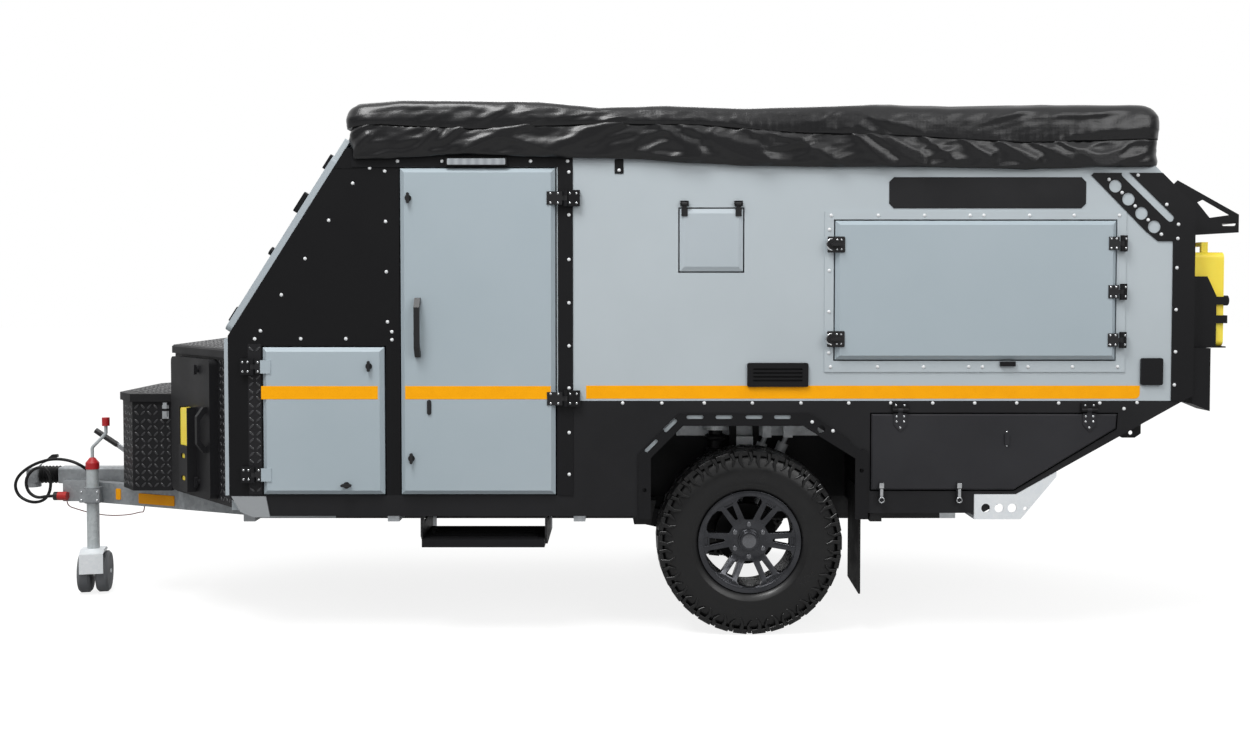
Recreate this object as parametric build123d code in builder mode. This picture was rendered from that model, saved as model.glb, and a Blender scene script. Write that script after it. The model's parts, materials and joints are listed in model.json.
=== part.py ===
# Off-road touring caravan: a hollow box body on a galvanised trailer chassis, with a nose box and a
# tongue box on the drawbar. Nose at minus X, the door side at minus Y, the ground at Z = 0.
import math
import os

from build123d import *

os.makedirs("parts", exist_ok=True)

# Body shell
half_width = 980
wall = 36
sheet = 12
front_x, rear_x = -1555, 2556
sill_z, sill_top_z, belt_z = 520, 609, 1014
kink_z, roof_z = 1291, 2060
slope_top_x = -1064
tail_cut = 220
tail_start_x, tail_start_z, tail_end_z = 1663, 533, 1036
floor_z, floor_t = 540, 30
play = 6
proud = 24
bevel = 18

# Openings in the side: x from, x to, z from, z to
door_hole = (-822, -154, sill_top_z, roof_z - 54)
locker_hole = (-1410, -882, sill_top_z, kink_z - 43)
hatch_hole = (1022, 2224, belt_z + 170, roof_z - 275)
hatch_rim = (984, 2262, belt_z + 123, roof_z - 241)
rim_t, post_t = 5, 4
flap_hole = (362, 643, roof_z - 501, roof_z - 224)
lid_hole = ((1181, 627), (1181, 963), (2239, 963), (2234, 892), (1813, 637), (1796, 627))
arch_outer = ((193, 507), (193, 785), (368, 960), (926, 960), (1172, 797), (1172, 507))
arch_inner = ((246, 500), (246, 770), (383, 907), (894, 907), (1118, 768), (1118, 500))
arch_cut = ((220, 500), (220, 777), (376, 933), (910, 933), (1145, 782), (1145, 500))
arch_box = ((208, 540), (208, 782), (371, 945), (915, 945), (1157, 789), (1157, 540))

# Hinges of the doors in the side: pin radius, barrel radius, half length
pin_r, barrel_r, knuckle = 5, 9, 34

# Chassis
rail_w, rail_bottom_z = 50, 430
rail_y = 470
drawbar_bottom_z, drawbar_bend_x = 440, -2530

# Wheels
wheel_x, wheel_y, tyre_r, tyre_w = 673, half_width - 148, 400, 266
tread_depth, lug_count = 13, 20
rim_r, cap_r = 222, 39
stud_circle, stud_count, spoke_count = 139.7, 6, 6
arch_wall_y = wheel_y - 287
jockey_x, jockey_y = -2462, -170
jockey_r, jockey_tube_r = 100, 29
castor_turn = 12
spare_x, spare_z = rear_x + 172, 1340

# Boxes on the drawbar
nose_front_x, nose_front_y, nose_rear_y = -1971, 407, half_width - 80
nose_bottom_z, nose_lid_z, nose_top_z = 540, 1190, 1229
tongue_front_x, tongue_rear_x, tongue_y, tongue_front_y = -2267, nose_front_x - 24, 400, 282
tongue_corner_x, tongue_bottom_z, tongue_lid_z, tongue_top_z = -2179, 540, 960, 997
box_sheet = 10
tongue_pin_x, tongue_pin_z = tongue_front_x - 20, tongue_lid_z - 7

inner = half_width - wall
eaves_z = roof_z - wall
skin = half_width + proud
slope_run = (slope_top_x - front_x) / (roof_z - kink_z)
slope_wall = wall * math.hypot(1, slope_run)
tail_run = (rear_x - tail_start_x) / (tail_end_z - tail_start_z)
pieces = {}


def slope_x(z):
    return front_x + (z - kink_z) * slope_run


def tail_x(z):
    return tail_start_x + (z - tail_start_z) * tail_run


def drawbar_y(x):
    return -95 - (x - drawbar_bend_x) * (rail_y + rail_w - 95) / (front_x - drawbar_bend_x)


def corners(box):
    x0, x1, z0, z1 = box
    return (x0, z0), (x1, z0), (x1, z1), (x0, z1)


def shrunk(box, by):
    x0, x1, z0, z1 = box
    return x0 + by, x1 - by, z0 + by, z1 - by


# Walls, floor and roof
with BuildPart() as front_wall:
    with BuildSketch(Plane.XZ.offset(-inner)):
        Polygon(
            (front_x, floor_z),
            (front_x, kink_z),
            (slope_x(eaves_z), eaves_z),
            (slope_x(eaves_z) + slope_wall, eaves_z),
            (front_x + wall, kink_z + (wall - slope_wall) / slope_run),
            (front_x + wall, floor_z),
            align=None,
        )
    extrude(amount=2 * inner)
pieces["front_wall"] = front_wall.part

with BuildPart() as rear_wall:
    with BuildSketch(Plane.XZ.offset(-inner)):
        Polygon(
            (rear_x - tail_cut + wall, eaves_z),
            (rear_x, roof_z - tail_cut),
            (rear_x, tail_end_z + 35),
            (rear_x - wall, tail_end_z + 35 - wall / tail_run),
            (rear_x - wall, roof_z - tail_cut - 15),
            (rear_x - tail_cut - 15, eaves_z),
            align=None,
        )
    extrude(amount=2 * inner)
pieces["rear_wall"] = rear_wall.part

with BuildPart() as roof_panel:
    with BuildSketch(Plane.XZ.offset(-half_width)):
        Polygon(
            (slope_x(eaves_z), eaves_z),
            (slope_top_x, roof_z),
            (rear_x - tail_cut, roof_z),
            (rear_x - tail_cut + wall, eaves_z),
            align=None,
        )
    extrude(amount=2 * half_width)
pieces["roof_panel"] = roof_panel.part

with BuildPart() as floor_panel:
    with BuildSketch(Plane.XY.offset(floor_z)):
        with Locations(((front_x + wall + tail_start_x) / 2, 0)):
            Rectangle(tail_start_x - front_x - wall, 2 * inner)
        for side in (-1, 1):
            with Locations(((arch_box[0][0] + arch_box[-1][0]) / 2, side * (arch_wall_y + inner) / 2)):
                Rectangle(arch_box[-1][0] - arch_box[0][0], inner - arch_wall_y, mode=Mode.SUBTRACT)
    extrude(amount=floor_t)
pieces["floor_panel"] = floor_panel.part

with BuildPart() as tail_panel:
    with BuildSketch(Plane.XZ.offset(-inner)):
        Polygon(
            (tail_start_x, tail_start_z),
            (rear_x, tail_end_z),
            (rear_x, tail_end_z + 35),
            (tail_start_x, tail_start_z + 35),
            align=None,
        )
    extrude(amount=2 * inner)
pieces["tail_panel"] = tail_panel.part

# Side panels: the door side has the entry door and the vent flap, the far side is closed there
for side, has_door in (("left", True), ("right", False)):
    panel_end = door_hole[0] if has_door else door_hole[1]
    with BuildPart() as front_panel:
        with BuildSketch(Plane.XZ.offset(half_width)):
            Polygon(
                (front_x, sill_top_z),
                (front_x, kink_z),
                (slope_x(eaves_z), eaves_z),
                (panel_end, eaves_z),
                (panel_end, sill_top_z),
                align=None,
            )
            Polygon(*corners(locker_hole), align=None, mode=Mode.SUBTRACT)
        extrude(amount=-wall)
    with BuildPart() as main_panel:
        with BuildSketch(Plane.XZ.offset(half_width)):
            Polygon(
                (door_hole[1], belt_z),
                (door_hole[1], door_hole[3]),
                (panel_end, door_hole[3]),
                (panel_end, eaves_z),
                (rear_x - tail_cut + wall, eaves_z),
                (rear_x, roof_z - tail_cut),
                (rear_x, tail_end_z),
                (tail_x(belt_z), belt_z),
                align=None,
            )
            Polygon(*corners(hatch_hole), align=None, mode=Mode.SUBTRACT)
            if has_door:
                Polygon(*corners(flap_hole), align=None, mode=Mode.SUBTRACT)
        extrude(amount=-wall)
        with BuildSketch(Plane.XZ.offset(half_width)):
            Polygon(*corners(hatch_rim), align=None)
            Polygon(*corners(hatch_hole), align=None, mode=Mode.SUBTRACT)
        extrude(amount=rim_t)
    with BuildPart() as skirt:
        with BuildSketch(Plane.XZ.offset(half_width)):
            Polygon(
                (front_x + 93, sill_z),
                (front_x, sill_top_z - 9),
                (front_x, sill_top_z),
                (door_hole[1], sill_top_z),
                (door_hole[1], belt_z),
                (tail_x(belt_z), belt_z),
                (tail_start_x, tail_start_z),
                (arch_cut[-1][0], tail_start_z),
                (arch_cut[-1][0], sill_z),
                align=None,
            )
            Polygon(*arch_cut, align=None, mode=Mode.SUBTRACT)
            Polygon(*lid_hole, align=None, mode=Mode.SUBTRACT)
        extrude(amount=-wall)
    for node, made in (("front_panel", front_panel), ("main_panel", main_panel), ("skirt", skirt)):
        pieces[f"side_{node}_{side}"] = made.part if has_door else mirror(made.part, about=Plane.XZ)

# Hinge halves, with the pin along local Z: the fixed leaf lies towards plus X and reaches back to the wall,
# the moving leaf lies towards minus X; local Y points out of the side
def fixed_leaf(leaf, drop, long=2 * knuckle):
    with BuildPart() as half:
        with Locations((leaf / 2, -drop / 2, 0)):
            Box(leaf, drop, long)
        Cylinder(barrel_r, long)
        Cylinder(barrel_r + 2, 20, mode=Mode.SUBTRACT)
        Cylinder(pin_r, long)
    return half.part


def moving_leaf(reach, low, wide=56):
    with BuildPart() as half:
        Cylinder(barrel_r, 19)
        with Locations((-8, low + 2, 0)):
            Box(16, 4, 19)
        with Locations((-(reach + 15) / 2, low + 2, 0)):
            Box(reach - 15, 4, wide)
        Cylinder(pin_r + 0.2, 19, mode=Mode.SUBTRACT)
    return half.part


def side_hinge(x, y, z, way):
    return Plane(origin=(x, -y, z), x_dir=(way, 0, 0), z_dir=(0, 0, -way)).location


def top_hinge(x, y, z):
    return Plane(origin=(x, -y, z), x_dir=(0, 0, 1), z_dir=(1, 0, 0)).location


# Turn latch with a wing, and a bow handle on two feet, set on a face at u, v
def wing_latch(face, u, v, turn):
    with BuildPart() as latch:
        with BuildSketch(face):
            with Locations((u, v)):
                Circle(14)
        extrude(amount=7)
        with BuildSketch(face.offset(7)):
            with Locations((u, v)):
                SlotOverall(46, 12, rotation=turn)
        extrude(amount=13)
    return latch.part


def bow_handle(face, u, v, length):
    side = Plane(origin=face.from_local_coords((u, v, 0)), x_dir=face.z_dir, z_dir=face.x_dir)
    half = length / 2
    with BuildPart() as handle:
        with BuildSketch(side):
            Polygon(
                (0, -half), (16, -half), (46, 40 - half), (46, half - 40), (16, half), (0, half),
                (0, half - 28), (9, half - 28), (32, half - 58), (32, 58 - half), (9, 28 - half),
                (0, 28 - half),
                align=None,
            )
        extrude(amount=12, both=True)
    return handle.part


# Doors in the side: node, opening, hinge x, which way and how far the fixed leaf lies, how far the moving
# leaf reaches, what the fixed leaf stands on, heights
side_doors = (
    ("entry_door", door_hole, door_hole[1] + 39, 1, 60, 80, half_width + post_t,
     (door_hole[2] + 229, door_hole[3] - 166)),
    ("front_locker_door", locker_hole, locker_hole[0] - 37, -1, 50, 80, half_width,
     (locker_hole[2] + 91, locker_hole[3] - 88)),
    ("side_hatch", hatch_hole, hatch_hole[1] + 16, 1, 22, 58, half_width + rim_t,
     (hatch_hole[2] + 90, (hatch_hole[2] + hatch_hole[3]) / 2 - 6, hatch_hole[3] - 102)),
)
# Wing latches: x, z, turn of the wing
wing_spots = {
    "entry_door": ((-780, door_hole[3] - 132, 90), (-771, door_hole[2] + 162, 90)),
    "front_locker_door": ((-950, locker_hole[3] - 85, 90), (-1048, locker_hole[2] + 47, 0)),
}
# Plates of the hatch latches: x, z, width, height
hatch_latches = (
    (1029, hatch_hole[3] - 107, 74, 68),
    (1029, hatch_hole[2] + 94, 74, 68),
)
fixed_halves = {}
for node, hole, pin_x, way, leaf, reach, base, heights in side_doors:
    with BuildPart() as door:
        with BuildSketch(Plane.XZ.offset(inner)):
            Polygon(*corners(shrunk(hole, play)), align=None)
        extrude(amount=wall + proud)
        chamfer(door.faces().sort_by(Axis.Y)[0].edges(), bevel)
        for z in heights:
            add(side_hinge(pin_x, skin, z, way) * moving_leaf(reach, 0))
        for x, z, turn in wing_spots.get(node, ()):
            add(wing_latch(Plane.XZ.offset(skin), x, z, turn))
        if node == "entry_door":
            add(bow_handle(Plane.XZ.offset(skin), -741, door_hole[2] + 718, 252))
            with BuildSketch(Plane.XZ.offset(skin)):
                with Locations((-695, door_hole[2] + 379)):
                    SlotOverall(64, 18, rotation=90)
            extrude(amount=5)
        if node == "side_hatch":
            with BuildSketch(Plane.XZ.offset(skin)):
                for x, z, w, h in hatch_latches:
                    with Locations((x, z)):
                        RectangleRounded(w, h, 5)
            extrude(amount=5)
            for x, z, w, h in hatch_latches:
                add(wing_latch(Plane.XZ.offset(skin + 5), x, z, 0))
    fixed_halves[node] = [side_hinge(pin_x, skin, z, way) * fixed_leaf(leaf, skin - base) for z in heights]
    if node == "entry_door":
        pieces[node] = door.part
    else:
        pieces[f"{node}_left"] = door.part
        pieces[f"{node}_right"] = mirror(door.part, about=Plane.XZ)

lid_pin_y, lid_pin_z, lid_hinges_x = half_width + 10, 975, (1308, 2113)
lid_t, lid_latches_x = 20, (1228, 1559)
with BuildPart() as locker_lid:
    with BuildSketch(Plane.XZ.offset(half_width + 8 - lid_t)):
        Polygon(*lid_hole, align=None)
        offset(amount=-play, mode=Mode.REPLACE)
    extrude(amount=lid_t)
    chamfer(locker_lid.faces().sort_by(Axis.Y)[0].edges(), 6)
    for x in lid_hinges_x:
        add(top_hinge(x, lid_pin_y, lid_pin_z) * moving_leaf(62, -2))
        with BuildSketch(Plane.XZ.offset(half_width + 8)):
            Polygon((x - 28, lid_pin_z - 62), (x, lid_pin_z - 92), (x + 28, lid_pin_z - 62), align=None)
        extrude(amount=4)
    for x in lid_latches_x:
        with BuildSketch(Plane.XZ.offset(half_width + 8)):
            with Locations((x, lid_hole[0][1] - 6)):
                Rectangle(16, 92)
        extrude(amount=7)
        with BuildSketch(Plane.XZ.offset(half_width + 15)):
            with Locations((x, lid_hole[0][1] - 22)):
                SlotOverall(56, 12, rotation=90)
        extrude(amount=7)
    with BuildSketch(Plane.XZ.offset(half_width + 8)):
        with Locations((1763, lid_hole[0][1] + 225)):
            SlotOverall(56, 20, rotation=90)
    extrude(amount=6)
fixed_halves["rear_locker_lid"] = [
    top_hinge(x, lid_pin_y, lid_pin_z) * fixed_leaf(30, 10) for x in lid_hinges_x
]
pieces["rear_locker_lid_left"] = locker_lid.part
pieces["rear_locker_lid_right"] = mirror(locker_lid.part, about=Plane.XZ)

flap_pin_z, flap_hinges_x = flap_hole[3] + 14, (flap_hole[0] + 26, flap_hole[1] - 26)
with BuildPart() as vent_flap:
    with BuildSketch(Plane.XZ.offset(half_width + 8 - lid_t)):
        Polygon(*corners(shrunk(flap_hole, play)), align=None)
    extrude(amount=lid_t - 8)
    with BuildSketch(Plane.XZ.offset(half_width)):
        Polygon(*corners(shrunk(flap_hole, play)), align=None)
    extrude(amount=8, taper=68)
    for x in flap_hinges_x:
        add(top_hinge(x, lid_pin_y, flap_pin_z) * moving_leaf(52, -2, 26))
fixed_halves["vent_flap"] = [
    top_hinge(x, lid_pin_y, flap_pin_z) * fixed_leaf(14, 10, 36) for x in flap_hinges_x
]
pieces["vent_flap"] = vent_flap.part

nose_pin_x, nose_pin_z = front_x - 8, nose_top_z + 8
with BuildPart() as door_hinges:
    for node, halves in fixed_halves.items():
        add(halves)
        if node not in ("entry_door", "vent_flap"):
            add([mirror(half, about=Plane.XZ) for half in halves])
    for y in (-450, 450):
        with Locations((front_x - 4, y, nose_pin_z)):
            Box(8, 120, 14)
        with Locations(Location((nose_pin_x, y, nose_pin_z), (90, 0, 0))):
            Cylinder(7, 120)
pieces["door_hinges"] = door_hinges.part

# Wheel arches
with BuildPart() as wheel_boxes:
    with BuildSketch(Plane.XZ.offset(inner)):
        Polygon(*arch_box, align=None)
    extrude(amount=arch_wall_y - inner)
    with BuildSketch(Plane.XZ.offset(inner)):
        Polygon(*arch_cut, align=None)
    extrude(amount=arch_wall_y + sheet - inner, mode=Mode.SUBTRACT)
    mirror(about=Plane.XZ)
pieces["wheel_boxes"] = wheel_boxes.part

with BuildPart() as arch_flares:
    with BuildSketch(Plane.XZ.offset(half_width)):
        Polygon(*arch_outer, align=None)
        Polygon(*arch_inner, align=None, mode=Mode.SUBTRACT)
        for x in (434, 558, 686, 807):
            with Locations((x, 945)):
                SlotOverall(72, 16, mode=Mode.SUBTRACT)
        for x, z, turn in ((330, 908, 45), (248, 822, 45), (1123, 826, -34)):
            with Locations((x, z)):
                SlotOverall(72, 16, rotation=turn, mode=Mode.SUBTRACT)
        for x, z, r in ((219, 632, 9), (1145, 716, 9), (972, 893, 16)):
            with Locations((x, z)):
                Circle(r, mode=Mode.SUBTRACT)
    extrude(amount=10)
    mirror(about=Plane.XZ)
pieces["arch_flares"] = arch_flares.part

with BuildPart() as mud_flaps:
    with BuildSketch(Plane.YZ.offset(arch_cut[-1][0] - 8)):
        Polygon((8 - half_width, 183), (142 - wheel_y, 198), (142 - wheel_y, 640), (20 - half_width, 640),
                (8 - half_width, 560), align=None)
    extrude(amount=8)
    mirror(about=Plane.XZ)
pieces["mud_flaps"] = mud_flaps.part

# Chassis: side rails, tail plates with holes at the body's lower corners, drawbar rails, cross members
tail_plate_t, tail_plate_z, tail_holes_x = 8, sill_z - 13, (1676, 1733, 1789)
with BuildPart() as chassis_rails:
    with BuildSketch(Plane.XZ.offset(rail_y)):
        Polygon((front_x, rail_bottom_z), (tail_start_x, rail_bottom_z), (tail_start_x, floor_z),
                (front_x, floor_z), align=None)
    extrude(amount=rail_w)
    with BuildSketch(Plane.XZ.offset(half_width)):
        Polygon((tail_start_x - 36, tail_plate_z), (tail_start_x + 162, tail_plate_z),
                (tail_start_x + 314, tail_plate_z + 183), (tail_start_x + 314, tail_start_z + 314 / tail_run),
                (tail_start_x + 143, tail_start_z + 143 / tail_run),
                (tail_start_x - 36, tail_start_z + 143 / tail_run), align=None)
        for x in tail_holes_x:
            with Locations((x, 555)):
                Circle(19, mode=Mode.SUBTRACT)
        with Locations((1845, 553)):
            Circle(8, mode=Mode.SUBTRACT)
    extrude(amount=tail_plate_t)
    stay_end_y = half_width + tail_plate_t
    with Locations((tail_start_x - 3, -(rail_y + stay_end_y) / 2, (tail_plate_z + sill_z - 0.5) / 2)):
        Box(66, stay_end_y - rail_y, sill_z - tail_plate_z - 0.5)
    mirror(about=Plane.XZ)
pieces["chassis_rails"] = chassis_rails.part

with BuildPart() as drawbar_rails:
    with BuildSketch(Plane.XY.offset(drawbar_bottom_z)):
        Polygon(
            (-2640, -45),
            (-2520, -45),
            (front_x, -rail_y),
            (front_x, drawbar_y(front_x)),
            (drawbar_bend_x, drawbar_y(drawbar_bend_x)),
            (-2640, drawbar_y(drawbar_bend_x)),
            align=None,
        )
    extrude(amount=floor_z - drawbar_bottom_z)
    mirror(about=Plane.XZ)
pieces["drawbar_rails"] = drawbar_rails.part

arm_x, arm_z, arm_y, arm_w = 215, 470, wheel_y - 194, 76
step_x0, step_x1, step_y0, step_y1, step_z = -733, -208, half_width - 319, half_width + 5, 420
with BuildPart() as cross_members:
    for x in (-1480, -740, arm_x, 1215, 1630):
        with Locations((x, 0, 490)):
            Box(50, 2 * rail_y, 80)
    for x in (-1480, -860, -60, 1215):
        for side in (-1, 1):
            with Locations((x, side * (rail_y + rail_w + inner) / 2, 515)):
                Box(50, inner - rail_y - rail_w, 50)
    for side in (-1, 1):
        for y in (arm_y - arm_w / 2 - 9, arm_y + arm_w / 2 + 9):
            with BuildSketch(Plane.XZ.offset(-side * y)):
                Polygon(
                    (arm_x - 60, 540), (arm_x + 60, 540), (arm_x + 38, 432), (arm_x - 38, 432), align=None
                )
                with Locations((arm_x, arm_z)):
                    Circle(14, mode=Mode.SUBTRACT)
            extrude(amount=6, both=True)
        with Locations((arm_x - 35, side * (rail_y + rail_w + arm_y + arm_w / 2 + 15) / 2, 523)):
            Box(40, arm_y + arm_w / 2 + 15 - rail_y - rail_w, 34)
    for x, way in ((step_x0 - 0.5, -1), (step_x1 + 0.5, 1)):
        with BuildSketch(Plane.YZ.offset(x)):
            Polygon((-rail_y - rail_w, 386), (80 - half_width, 386), (20 - half_width, 430),
                    (20 - half_width, sill_z), (60 - half_width, sill_z), (100 - half_width, 480),
                    (-rail_y - rail_w, 500), align=None)
        extrude(amount=way * 8)
    for side in (-1, 1):
        with BuildSketch(Plane.XZ.offset(-side * (half_width + 4))):
            Polygon((front_x + 11, sill_top_z - 4), (front_x + 158, sill_top_z - 4),
                    (front_x + 175, sill_z - 4), (front_x + 102, sill_z - 4), (front_x + 48, sill_z + 20),
                    align=None)
        extrude(amount=4, both=True)
pieces["cross_members"] = cross_members.part

# Suspension: trailing arms with stub axles and drums, bridges, springs and shock absorbers
spring_x = 545
# Shock absorbers: foot x, foot z, top x, top z
shocks = ((648, 514, 776, 838), (712, 486, 872, 838))
eye_r, eye_w, pin_eye_r, ear_t = 18, 26, 8, 6
with BuildPart() as trailing_arms:
    with BuildSketch(Plane.XZ.offset(arm_y - arm_w / 2)):
        Polygon(
            (arm_x - 10, arm_z + 36),
            (470, 486),
            (620, 486),
            (wheel_x + 60, tyre_r + 40),
            (wheel_x + 60, tyre_r - 50),
            (wheel_x - 40, tyre_r - 60),
            (arm_x, arm_z - 38),
            align=None,
        )
    extrude(amount=arm_w)
    with Locations(Location((arm_x, -arm_y, arm_z), (90, 0, 0))):
        Cylinder(38, arm_w)
        Cylinder(13.7, arm_w + 36)
    for foot_x, foot_z, top_x, top_z in shocks:
        for way in (-1, 1):
            with Locations((foot_x, -arm_y + way * (eye_w / 2 + 1 + ear_t / 2), foot_z - 20)):
                Box(36, ear_t, 64)
        with Locations(Location((foot_x, -arm_y, foot_z), (90, 0, 0))):
            Cylinder(pin_eye_r, eye_w + 2)
    drum_y, axle_y = wheel_y - 90, wheel_y - 62
    for r, y0, y1 in ((135, arm_y + arm_w / 2, drum_y), (60, drum_y, axle_y), (24, axle_y, wheel_y + 46)):
        with BuildSketch(Plane.XZ.offset(y0)):
            with Locations((wheel_x, tyre_r)):
                Circle(r)
        extrude(amount=y1 - y0)
    mirror(about=Plane.XZ)
pieces["trailing_arms"] = trailing_arms.part

with BuildPart() as spring_bridges:
    with Locations((645, -(arch_wall_y + sheet + 70), 906.5)):
        Box(520, 140, 53)
    with Locations((spring_x, -arm_y, 868)):
        Cylinder(58, 24)
    for foot_x, foot_z, top_x, top_z in shocks:
        for way in (-1, 1):
            with Locations((top_x, -arm_y + way * (eye_w / 2 + 1 + ear_t / 2), 850)):
                Box(40, ear_t, 60)
        with Locations(Location((top_x, -arm_y, top_z), (90, 0, 0))):
            Cylinder(pin_eye_r, eye_w + 2)
    mirror(about=Plane.XZ)
pieces["spring_bridges"] = spring_bridges.part

with BuildPart() as springs_and_shocks:
    with BuildSketch(Plane.XZ.offset(arm_y)):
        with Locations((spring_x + 22, 671)):
            Rectangle(20, 370)
        with Locations((spring_x + 38, 671)):
            with GridLocations(0, 60, 1, 6):
                Circle(13)
    revolve(axis=Axis((spring_x, -arm_y, 0), (0, 0, 1)))
    for foot_x, foot_z, top_x, top_z in shocks:
        run = Vector(top_x - foot_x, 0, top_z - foot_z)
        foot = Plane(origin=(foot_x, -arm_y, foot_z), z_dir=run)
        for start, end, r in ((16, run.length - 16, 11), (run.length * 0.42, run.length - 48, 25)):
            with BuildSketch(foot.offset(start)):
                Circle(r)
            extrude(amount=end - start)
        for x, z in ((foot_x, foot_z), (top_x, top_z)):
            with Locations(Location((x, -arm_y, z), (90, 0, 0))):
                Cylinder(eye_r, eye_w)
                Cylinder(pin_eye_r + 0.3, eye_w, mode=Mode.SUBTRACT)
    mirror(about=Plane.XZ)
pieces["springs_and_shocks"] = springs_and_shocks.part

# Road wheels, standing at their place with the axle along Y; the spare hangs on the tail
half_tyre = tyre_w / 2
tread_r = tyre_r - tread_depth
lug_w = 0.56 * 2 * math.pi * tyre_r / lug_count
lugs = {}
for side in (-1, 1):
    with BuildPart() as lug:
        with BuildSketch(Plane.XY):
            Polygon(
                (tread_r - 42, side * (half_tyre - 2)),
                (tyre_r - 14, side * (half_tyre - 2)),
                (tyre_r, side * (half_tyre - 16)),
                (tyre_r, side * 46),
                (tread_r - 4, side * 40),
                (tread_r - 42, side * (half_tyre - 20)),
                align=None,
            )
        extrude(amount=lug_w / 2, both=True)
    lugs[side] = lug.part
block_r = tread_r + tread_depth / 2 - 3.5
with BuildPart() as tyre:
    with BuildSketch(Plane.XY):
        Polygon(
            (208.4, -96.5),
            (223, -102.5),
            (226, -114),
            (240, 7 - half_tyre),
            (300, -half_tyre),
            (352, 6 - half_tyre),
            (tread_r - 10, 14 - half_tyre),
            (tread_r, 30 - half_tyre),
            (tread_r, half_tyre - 30),
            (tread_r - 10, half_tyre - 14),
            (352, half_tyre - 6),
            (300, half_tyre),
            (240, half_tyre - 7),
            (226, 114),
            (223, 102.5),
            (208.4, 96.5),
            align=None,
        )
    revolve(axis=Axis.Y)
    for side, stagger in ((-1, 0), (1, 0.5)):
        for k in range(lug_count):
            add(Rotation(0, (k + stagger) * 360 / lug_count, 0) * lugs[side])
    for stagger, y in ((0.25, -19), (0.75, 19)):
        for k in range(lug_count):
            with Locations(Rotation(0, (k + stagger) * 360 / lug_count, 0) * Location((block_r, y, 0))):
                Box(tread_depth + 3, 34, lug_w * 0.8)

# Cast rim: a concave dish with paired spokes, six windows, a slot in each pair, nuts and a plain cap
with BuildPart() as rim:
    with BuildSketch(Plane.XY):
        Polygon(
            (199, -112), (rim_r, -112), (rim_r, -104), (208, -98), (208, 98), (rim_r, 104), (rim_r, 112),
            (199, 112), align=None,
        )
    revolve(axis=Axis.Y)
    with BuildSketch(Plane.XY):
        Polygon((0, -28), (82, -28), (201, -62), (201, -106), (186, -106), (170, -98), (88, -66), (0, -66),
                align=None)
    revolve(axis=Axis.Y)
    with BuildSketch(Plane.XZ.offset(20)):
        with PolarLocations(0, spoke_count):
            Polygon((90, -17), (172, -54), (188, -46), (197, -16), (197, 16), (188, 46), (172, 54), (90, 17),
                    align=None, rotation=30)
            Polygon((104, -5), (172, -15), (172, 15), (104, 5), align=None)
    extrude(amount=100, mode=Mode.SUBTRACT)
    with BuildSketch(Plane.XZ.offset(96)):
        with PolarLocations(0, spoke_count):
            with Locations((186, 0)):
                Rectangle(13, 40)
    extrude(amount=20, mode=Mode.SUBTRACT)
    with BuildSketch(Plane.XZ.offset(66)):
        with PolarLocations(stud_circle / 2, stud_count, 30):
            RegularPolygon(11, 6)
    extrude(amount=13)
    with BuildSketch(Plane.XZ.offset(-62)):
        Circle(62)
    extrude(amount=92)
    with BuildSketch(Plane.XZ.offset(60)):
        Circle(cap_r + 8)
    extrude(amount=16)
    with BuildSketch(Plane.XZ.offset(76)):
        Circle(cap_r)
    extrude(amount=14)
    with BuildSketch(Plane.XZ.offset(-62)):
        Circle(24.3)
    extrude(amount=112, mode=Mode.SUBTRACT)

for side, way in (("left", -1), ("right", 1)):
    turn = 0 if way < 0 else 180
    seat = Location((wheel_x, way * wheel_y, tyre_r), (0, 0, turn))
    pieces[f"tyre_{side}"] = seat * tyre.part
    pieces[f"rim_{side}"] = seat * rim.part
spare_seat = Location((spare_x, 0, spare_z), (0, 0, 90))
pieces["spare_tyre"] = spare_seat * tyre.part
pieces["spare_rim"] = spare_seat * rim.part

# Coupling, hand brake and jockey stand on the drawbar
with BuildPart() as overrun_housing:
    with Locations((-2480, 0, 560)):
        Box(405, 90, 80)
    fillet(overrun_housing.edges().filter_by(Axis.X), 12)
pieces["overrun_housing"] = overrun_housing.part

with BuildPart() as coupling_gaiter:
    with BuildSketch(Plane.XZ):
        with BuildLine():
            ribs = [(-2787 + 17 * k + dx, 560 + r) for k in range(6) for dx, r in ((0, 32), (8.5, 44))]
            Polyline((-2787, 560), *ribs, (-2683, 560), close=True)
        make_face()
    revolve(axis=Axis((0, 0, 560), (1, 0, 0)))
pieces["coupling_gaiter"] = coupling_gaiter.part

ball_x, ball_z = -2827, 545
with BuildPart() as coupling_head:
    with Locations((-2820, 0, 556)):
        Box(66, 72, 66)
    fillet(coupling_head.edges().filter_by(Axis.Z), 20)
    with Locations((ball_x, 0, ball_z - 23)):
        Cylinder(38, 46)
    with Locations((ball_x, 0, ball_z)):
        Sphere(25.5, mode=Mode.SUBTRACT)
        Cylinder(25.5, 60, align=(Align.CENTER, Align.CENTER, Align.MAX), mode=Mode.SUBTRACT)
    with BuildSketch(Plane.XZ.offset(9)):
        Polygon((-2812, 589), (-2795, 589), (-2785, 612), (-2700, 648), (-2704, 662), (-2730, 660),
                align=None)
    extrude(amount=-18)
pieces["coupling_head"] = coupling_head.part

with BuildPart() as handbrake_lever:
    with BuildSketch(Plane.XZ.offset(9)):
        Polygon((-2310, 600), (-2284, 600), (-2284, 640), (-2410, 724), (-2420, 709), (-2310, 628),
                align=None)
    extrude(amount=-18)
    with BuildSketch(Plane(origin=(-2404, 0, 709), z_dir=(-112, 0, 75))):
        Circle(14)
    extrude(amount=130)
pieces["handbrake_lever"] = handbrake_lever.part

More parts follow.
